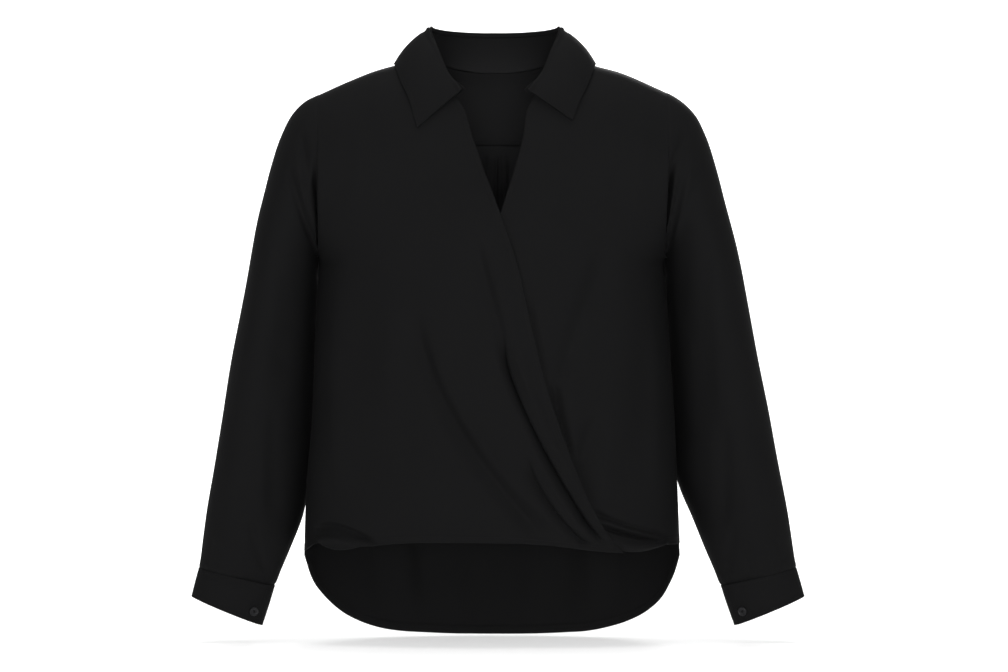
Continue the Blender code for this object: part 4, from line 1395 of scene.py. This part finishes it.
# %% Button shape
BUTTON_TURN = 492.0
BUTTON_DOWN = 0.72
BUTTON_STAND = 0.8 * MM
HOLE_RADIUS = 0.75 * MM
HOLE_OUT = 1.35 * MM
BUTTON_SIDES = 64
Ring = namedtuple("Ring", "radius height")
BUTTON_PROFILE = table(
    Ring,
    (0, 0), (4.2, 0), (4.9, 0.12), (5.45, 0.45), (5.68, 0.95), (5.66, 1.45), (5.5, 1.85),
    (5.22, 2.14), (4.9, 2.28), (4.6, 2.26), (4.3, 2.1), (4, 1.9), (3.6, 1.78), (3, 1.74),
    (0, 1.74),
)


def button_frame(side):
    """Place, and directions across, along and out, of a cuff button."""
    near = cuff_grid(np.array([BUTTON_TURN - 4, BUTTON_TURN, BUTTON_TURN + 4]), side)
    row = BUTTON_DOWN * (len(CUFF_RINGS) - 1)
    low = int(row)
    line = near[low] + (near[low + 1] - near[low]) * (row - low)
    along = near[low + 1, 1] - near[low, 1]
    out = unit(np.cross(line[2] - line[0], along))
    if out[1] > 0:
        out = -out
    along, out = Vector(along).normalized(), Vector(out)
    across = along.cross(out).normalized()
    turn = Matrix((across, out.cross(across), out)).transposed().to_4x4()
    return Matrix.Translation(Vector(line[1]) + out * BUTTON_STAND) @ turn


def tube_faces(rings, sides, first, poles):
    """Faces of a closed tube of rings that start at a vertex; the poles close its ends."""
    faces = []
    last = first + (rings - 1) * sides
    for number in range(sides):
        after = (number + 1) % sides
        faces.append((poles[0], first + after, first + number))
        faces.append((poles[1], last + number, last + after))
        for here in range(first, last, sides):
            there = here + sides
            faces.append((here + number, here + after, there + after, there + number))
    return faces


def turned_form(profile, sides):
    """A closed turned form about the Z axis, as vertices and faces."""
    angles = np.linspace(0, 2 * np.pi, sides, endpoint=False)
    vertices = [(0, 0, profile[0].height * MM), (0, 0, profile[-1].height * MM)]
    for ring in profile[1:-1]:
        for angle in angles:
            vertices.append((ring.radius * MM * np.cos(angle), ring.radius * MM * np.sin(angle),
                             ring.height * MM))
    return vertices, tube_faces(len(profile) - 2, sides, 2, (0, 1))


def placed_object(name, vertices, faces, finish):
    mesh = bpy.data.meshes.new(name)
    mesh.from_pydata([tuple(map(float, vertex)) for vertex in vertices], [], faces)
    mesh.materials.append(finish)
    return added(name, mesh)


def button_finish():
    """Dark polished polyester with faint clouds and fine specks."""
    recipe = Recipe("black_button_plastic")
    place = recipe.node("ShaderNodeTexCoord", None, None, out="Object")
    cloud = recipe.noise(place, 420.0, 3.0)
    speck = recipe.noise(place, 3800.0)
    return recipe.finish({
        "Base Color": recipe.blend(cloud, (0.006, 0.006, 0.007, 1), (0.011, 0.011, 0.012, 1)),
        "Roughness": 0.34 + cloud * 0.1 + speck * 0.05,
        "Specular IOR Level": 0.16,
        "Normal": recipe.bump(cloud + speck * 0.2, 0.12, 0.05 * MM),
    })


BUTTON = button_finish()


def cuff_button(name, side):
    vertices, faces = turned_form(BUTTON_PROFILE, BUTTON_SIDES)
    button = placed_object(name, vertices, faces, BUTTON)
    holes = bmesh.new()
    for number in range(4):
        angle = np.pi / 4 + number * np.pi / 2
        spot = Matrix.Translation((HOLE_OUT * np.cos(angle), HOLE_OUT * np.sin(angle), 1 * MM))
        bmesh.ops.create_cone(holes, cap_ends=True, segments=20, radius1=HOLE_RADIUS,
                              radius2=HOLE_RADIUS, depth=8 * MM, matrix=spot)
    mesh = bpy.data.meshes.new(name + "_holes")
    holes.to_mesh(mesh)
    holes.free()
    cutter = added(name + "_holes", mesh)
    cut = button.modifiers.new("Holes", "BOOLEAN")
    cut.operation = "DIFFERENCE"
    cut.solver = "EXACT"
    cut.object = cutter
    mesh = plain_mesh(button, name)
    bpy.data.objects.remove(cutter, do_unlink=True)
    mesh.transform(button_frame(side))
    shade_smooth(mesh, 35)
    print(name, len(mesh.polygons), "faces")
    return button


button_right = cuff_button("button_right", -1)
button_left = cuff_button("button_left", 1)

# %% [markdown]
# ## Thread of the buttons
# Crossed threads hold each button, three strands each way, with short shanks below it.
# Every strand is a tube along a smooth line that dips through two of the holes.

# %% Button threads
def strand(path, radius, sides=8):
    """A closed tube of thread along a path."""
    way = unit(np.gradient(path, axis=0))
    lead = np.array([0.3, 0.2, 0.93])
    first = unit(np.cross(way, lead))
    second = np.cross(way, first)
    angles = np.linspace(0, 2 * np.pi, sides, endpoint=False)
    rings = [place + radius * (np.cos(angles)[:, None] * a + np.sin(angles)[:, None] * b)
             for place, a, b in zip(path, first, second)]
    poles = (len(path) * sides, len(path) * sides + 1)
    return np.concatenate(rings + [path[:1], path[-1:]]), tube_faces(len(path), sides, 0, poles)


def button_thread(name, side):
    """Three strands each way through the holes, crossed in the middle."""
    vertices, faces = [], []
    for turn, high in ((45, 2.06), (135, 2.34)):
        for beside in (-0.3, 0.0, 0.3):
            angle = np.radians(turn)
            way = np.array([np.cos(angle), np.sin(angle), 0.0])
            across = np.array([-way[1], way[0], 0.0])
            path = []
            for reach, height in ((-1.35, -0.6), (-1.38, 0.6), (-1.3, 1.75), (-0.9, high - 0.1),
                                  (0, high), (0.9, high - 0.1), (1.3, 1.75), (1.38, 0.6),
                                  (1.35, -0.6)):
                path.append((way * reach + across * beside + (0, 0, height)) * MM)
            path = smooth(np.linspace(0, 8, 33), np.arange(9.0), np.array(path))
            tube, sides = strand(path, 0.15 * MM)
            faces += [tuple(corner + len(vertices) for corner in face) for face in sides]
            vertices += list(tube)
    thread = placed_object(name, vertices, faces, THREAD)
    mesh = plain_mesh(thread, name)
    mesh.transform(button_frame(side))
    shade_smooth(mesh)
    print(name, len(mesh.polygons), "faces")
    return thread


thread_right = button_thread("button_thread_right", -1)
thread_left = button_thread("button_thread_left", 1)

# %% [markdown]
# ## Stitches
# A lockstitch shows as a row of short dashes. There are some four thousand on this
# blouse, so Geometry Nodes lay them: the rows come in as plain lines, are measured off
# at the stitch length, and get one small bead of thread at every step, turned along the
# line.

# %% Stitch nodes
def stitch_tree():
    """Node tree with named inputs that sews a row of stitches along every line."""
    tree = bpy.data.node_groups.new("stitch_rows", "GeometryNodeTree")
    for name, kind, value in (
            ("Lines", "Geometry", None), ("Pitch", "Float", 2.7 * MM),
            ("Stitch", "Float", 2.1 * MM), ("Thread radius", "Float", 0.21 * MM),
            ("Seed", "Int", 5), ("Thread", "Material", None)):
        socket = tree.interface.new_socket(name, in_out="INPUT", socket_type="NodeSocket" + kind)
        if value is not None:
            socket.default_value = value
    tree.interface.new_socket("Stitches", in_out="OUTPUT", socket_type="NodeSocketGeometry")
    nodes = Nodes(tree)
    entry = tree.nodes.new("NodeGroupInput")
    given = {socket.name: Sum(nodes, socket) for socket in entry.outputs}
    curve = nodes.node("GeometryNodeMeshToCurve", None, {"Mesh": given["Lines"]})
    steps = nodes.node("GeometryNodeResampleCurve", {"mode": "LENGTH"},
                       {"Curve": curve, "Length": given["Pitch"]})
    bead = nodes.node("GeometryNodeMeshUVSphere", None, {"Segments": 6, "Rings": 4, "Radius": 1.0})
    size = nodes.node("ShaderNodeCombineXYZ", None, {
        "X": given["Thread radius"], "Y": given["Thread radius"], "Z": given["Stitch"] * 0.5})
    shape = nodes.node("GeometryNodeTransform", None, {"Geometry": bead, "Scale": size})
    way = nodes.node("GeometryNodeInputTangent")
    turn = nodes.node("FunctionNodeAlignRotationToVector", {"axis": "Z"}, {"Vector": way})
    varied = nodes.node("FunctionNodeRandomValue", {"data_type": "FLOAT_VECTOR"}, {
        0: (0.9, 0.9, 0.88), 1: (1.1, 1.1, 1.08), "Seed": given["Seed"]})
    sewn = nodes.node("GeometryNodeInstanceOnPoints", None, {
        "Points": steps, "Instance": shape, "Rotation": turn, "Scale": varied})
    real = nodes.node("GeometryNodeRealizeInstances", None, {"Geometry": sewn})
    thread = nodes.node("GeometryNodeSetMaterial", None,
                        {"Geometry": real, "Material": given["Thread"]})
    nodes.set(tree.nodes.new("NodeGroupOutput"), {"Stitches": thread})
    return tree


STITCH_TREE = stitch_tree()
STITCH_INPUTS = {socket.name: socket.identifier for socket in STITCH_TREE.interface.items_tree
                 if socket.in_out == "INPUT"}
print("stitch inputs:", ", ".join(STITCH_INPUTS))

# %% [markdown]
# ## Where the stitches run
# Hems and edges are topstitched near their fold, the yoke twice and the collar and cuffs
# once around. Each row is read from the cloth itself, at a set distance from its edge,
# and stops short of the corners.

# %% Stitch rows
def stitch_line(grid, out, edge, distance, lift, start=0.0, end=0.0):
    """A line on the cloth at a distance from an edge, lifted to its face."""
    place, up = inside_edge(grid, out, edge, distance)
    line = place + up * lift
    run = run_along(line)
    return line[(run >= start) & (run <= run[-1] - end)]


def sew(name, lines, seed, pitch=2.7 * MM):
    """A piece with all the stitches of some lines."""
    vertices, edges = [], []
    for line in lines:
        first = len(vertices)
        vertices += [tuple(map(float, place)) for place in line]
        edges += [(first + number, first + number + 1) for number in range(len(line) - 1)]
    mesh = bpy.data.meshes.new(name)
    mesh.from_pydata(vertices, edges, [])
    piece = added(name, mesh)
    nodes = piece.modifiers.new("Stitches", "NODES")
    nodes.node_group = STITCH_TREE
    nodes[STITCH_INPUTS["Pitch"]] = pitch
    nodes[STITCH_INPUTS["Stitch"]] = pitch * 0.78
    nodes[STITCH_INPUTS["Seed"]] = seed
    nodes[STITCH_INPUTS["Thread"]] = THREAD
    mesh = plain_mesh(piece, name)
    shade_smooth(mesh)
    print(name, len(mesh.polygons), "faces")
    return piece


FACE = CLOTH / 2 + 0.02 * MM
INSIDE = -(HEM_GAP + CLOTH / 2 + 0.02 * MM)
HEM_STITCHES = HEM_DEPTH - 1.4 * MM
EDGE_STITCHES = EDGE_DEPTH - 1.4 * MM


def front_stitches(name, grid, seed):
    out = outward(grid, (0, -1, 0))
    return sew(name, [
        stitch_line(grid, out, "bottom", HEM_STITCHES, FACE, 4 * MM, 8 * MM),
        stitch_line(grid, out, "bottom", HEM_STITCHES, INSIDE, 4 * MM, 12 * MM),
        stitch_line(grid, out, "right", EDGE_STITCHES, FACE, 8 * MM, 10 * MM),
        stitch_line(grid, out, "right", EDGE_STITCHES, INSIDE, 8 * MM, 12 * MM),
        stitch_line(grid, out, "top", 1.8 * MM, FACE, 2 * MM, 2 * MM),
    ], seed)


stitches_over = front_stitches("stitches_front_over", over_grid, 31)
stitches_under = front_stitches("stitches_front_under", under_grid, 32)
stitches_back = sew("stitches_back", [
    stitch_line(back_grid, back_out, "bottom", HEM_STITCHES, lift, 4 * MM, 4 * MM)
    for lift in (FACE, INSIDE)
], 33)
stitches_yoke = sew("stitches_yoke", [
    stitch_line(yoke_grid, yoke_out, "bottom", inset, lift, 3 * MM, 3 * MM)
    for inset in (1.6 * MM, 6.6 * MM) for lift in (FACE, -FACE)
], 34)
stand_face = 0.67 * MM
stitches_stand = sew("stitches_collar_stand", [
    stitch_line(stand_grid, stand_out, "bottom", 1.7 * MM, lift, 3 * MM, 3 * MM)
    for lift in (stand_face, -stand_face)
], 35, 2.4 * MM)
leaf_face = COLLAR_CLOTH / 2 + 0.02 * MM
stitches_leaf = sew("stitches_collar_leaf", [
    stitch_line(leaf_grid, leaf_out, edge, 5 * MM, leaf_face, start, 5 * MM)
    for edge, start in (("bottom", 5 * MM), ("left", 10 * MM), ("right", 10 * MM))
], 36, 2.4 * MM)
cuff_stitches = {}
cuff_face = CUFF_CLOTH / 2 + 0.02 * MM
for hand, side in (("right", -1), ("left", 1)):
    grid, cuff_out = cuff_grids[side]
    cuff_stitches[side] = sew("stitches_cuff_" + hand, [
        stitch_line(grid, cuff_out, edge, 4 * MM, cuff_face, 4 * MM, 4 * MM)
        for edge in ("top", "bottom", "right")
    ], 40 + side, 2.4 * MM)

# %% [markdown]
# ## Tying the cloth to the frame
# Every piece rides on the body of the frame and stands for its CAD solid.

# %% Cloth on the frame
Cut = namedtuple("Cut", "piece node width length area held rests_on with_pieces")
CUTS = [
    Cut(front_over, "front_over", 0.460, 0.640, 0.197, "hung", ["yoke_cloth"], [stitches_over]),
    Cut(front_under, "front_under", 0.420, 0.640, 0.184, "hung", ["yoke_cloth"], [stitches_under]),
    Cut(back, "back", 0.580, 0.650, 0.331, "hung", ["yoke_cloth"], [stitches_back]),
    Cut(yoke, "yoke", 0.450, 0.150, 0.057, "draped", [], [stitches_yoke]),
    Cut(stand, "collar_stand", 0.440, 0.040, 0.0145, "folded", ["yoke_cloth"], [stitches_stand]),
    Cut(leaf, "collar_leaf", 0.560, 0.085, 0.037, "folded", ["collar_stand_cloth"],
        [stitches_leaf]),
    Cut(sleeve_right, "sleeve_right", 0.440, 0.610, 0.198, "hung", ["yoke_cloth"], []),
    Cut(sleeve_left, "sleeve_left", 0.440, 0.610, 0.202, "hung", ["yoke_cloth"], []),
    Cut(cuff_right, "cuff_right", 0.260, 0.048, 0.0123, "folded", ["sleeve_right_cloth"],
        [cuff_stitches[-1], button_right, thread_right]),
    Cut(cuff_left, "cuff_left", 0.260, 0.048, 0.0123, "folded", ["sleeve_left_cloth"],
        [cuff_stitches[1], button_left, thread_left]),
]
for cut in CUTS:
    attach(cut.piece, "root")
    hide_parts(cut.node)
    for extra in cut.with_pieces:
        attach(extra, "root")
for button, node in ((button_right, "cuff_button_right"), (button_left, "cuff_button_left")):
    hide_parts(node)
for cut in CUTS:
    print(cut.node, "cut", cut.area, "made", round(AREA[cut.piece.name], 4), "m2")

# %% [markdown]
# ## Floor, light and camera
# The photograph shows the blouse alone on white, lit softly from above and in front,
# with a faint shadow where it nearly touches the floor. A white floor that curves up
# far behind, a pale sky and soft lights all round give the same. A small lamp in the
# neck shows the inside of the back as clearly as the outside, as such pictures do. The
# camera stands level with the middle of the blouse, five metres away, so that there is
# little perspective.

# %% Studio
FLOOR = -0.7215
FRAME_WIDTH = 1.26
DISTANCE = 5.0


def studio_floor():
    """A wide floor and, far behind, a white wall; both glow most where the photograph looks."""
    rows = [(-9.0, 0.0), (-3.0, 0.0), (-1.0, 0.0), (1.0, 0.0), (3.0, 0.0), (6.4, 0.0)]
    for angle in np.radians(np.arange(15, 91, 15)):
        rows.append((6.4 + 0.8 * np.sin(angle), 0.8 * (1 - np.cos(angle))))
    rows.append((7.2, 3.4))
    vertices = [(x, y, FLOOR + z) for y, z in rows for x in (-3.4, 3.4)]
    faces = [(2 * n, 2 * n + 1, 2 * n + 3, 2 * n + 2) for n in range(len(rows) - 1)]
    recipe = Recipe("white_studio")
    place = recipe.node("ShaderNodeTexCoord", None, None, out="Object")
    depth, side = recipe.axis(place, "Y"), recipe.axis(place, "X")
    # Painted light: the floor and wall glow by themselves, faint in front of the blouse, at half
    # strength under it where the lamps' shadow shows, and strongest far behind.
    near = recipe.fade(depth, -1.1, -0.4, 0.08, 0.5)
    far = recipe.fade(depth, 0.5, 2.6, 0.0, 0.45)
    glow = (near + far) * recipe.fade(abs(side), 1.7, 3.2, 1.0, 0.15)
    finish = recipe.finish({
        "Base Color": (0.72, 0.72, 0.72, 1), "Roughness": 0.9, "Specular IOR Level": 0.1,
        "Emission Color": recipe.blend(glow, (0, 0, 0, 1), (1, 1, 1, 1)), "Emission Strength": 1.0,
    })
    floor = placed_object("studio_floor", vertices, faces, finish)
    shade_smooth(floor.data)
    return floor


def soft_light(name, place, aim, size, power, spread=180):
    """A rectangle of light; a smaller spread lets its light fall off from where it aims."""
    lamp = bpy.data.lights.new(name, "AREA")
    lamp.shape = "RECTANGLE"
    lamp.size, lamp.size_y = size
    lamp.spread = np.radians(spread)
    lamp.energy = power
    thing = added(name, lamp)
    thing.location = place
    thing.rotation_euler = (Vector(aim) - Vector(place)).to_track_quat("-Z", "Y").to_euler()


floor = studio_floor()
world = bpy.data.worlds.new("pale_sky")
world.use_nodes = True
world.node_tree.nodes["Background"].inputs["Color"].default_value = (1.0, 1.0, 1.0, 1)
world.node_tree.nodes["Background"].inputs["Strength"].default_value = 0.4
bpy.context.scene.world = world
soft_light("front", (0.05, -5.2, -0.5), (0.0, 0.0, 0.1), (1.5, 1.1), 12, 40)
soft_light("side_right", (-3.0, -3.2, 0.8), (0.0, 0.0, -0.1), (1.4, 2.0), 34)
soft_light("side_left", (3.0, -3.2, 0.8), (0.0, 0.0, -0.1), (1.4, 2.0), 36)
soft_light("top", (0.0, -0.1, 4.6), (0.0, 0.0, -0.3), (3.0, 3.0), 120)
soft_light("inside_neck", (0.0, -0.045, -0.02), (0.0, 0.09, -0.06), (0.07, 0.04), 0.045, 90)
soft_light("behind", (0.6, 4.4, 1.6), (0.0, 0.0, -0.3), (2.0, 1.5), 80)

camera = added("camera", bpy.data.cameras.new("camera"))
camera.location = (0.01125, -DISTANCE, -0.33875)
camera.rotation_euler = (np.pi / 2, 0.0, 0.0)
camera.data.sensor_width = 36.0
camera.data.lens = camera.data.sensor_width * DISTANCE / FRAME_WIDTH
bpy.context.scene.camera = camera
bpy.context.scene.view_settings.view_transform = "Standard"
print("frame is", FRAME_WIDTH, "m wide at the blouse")
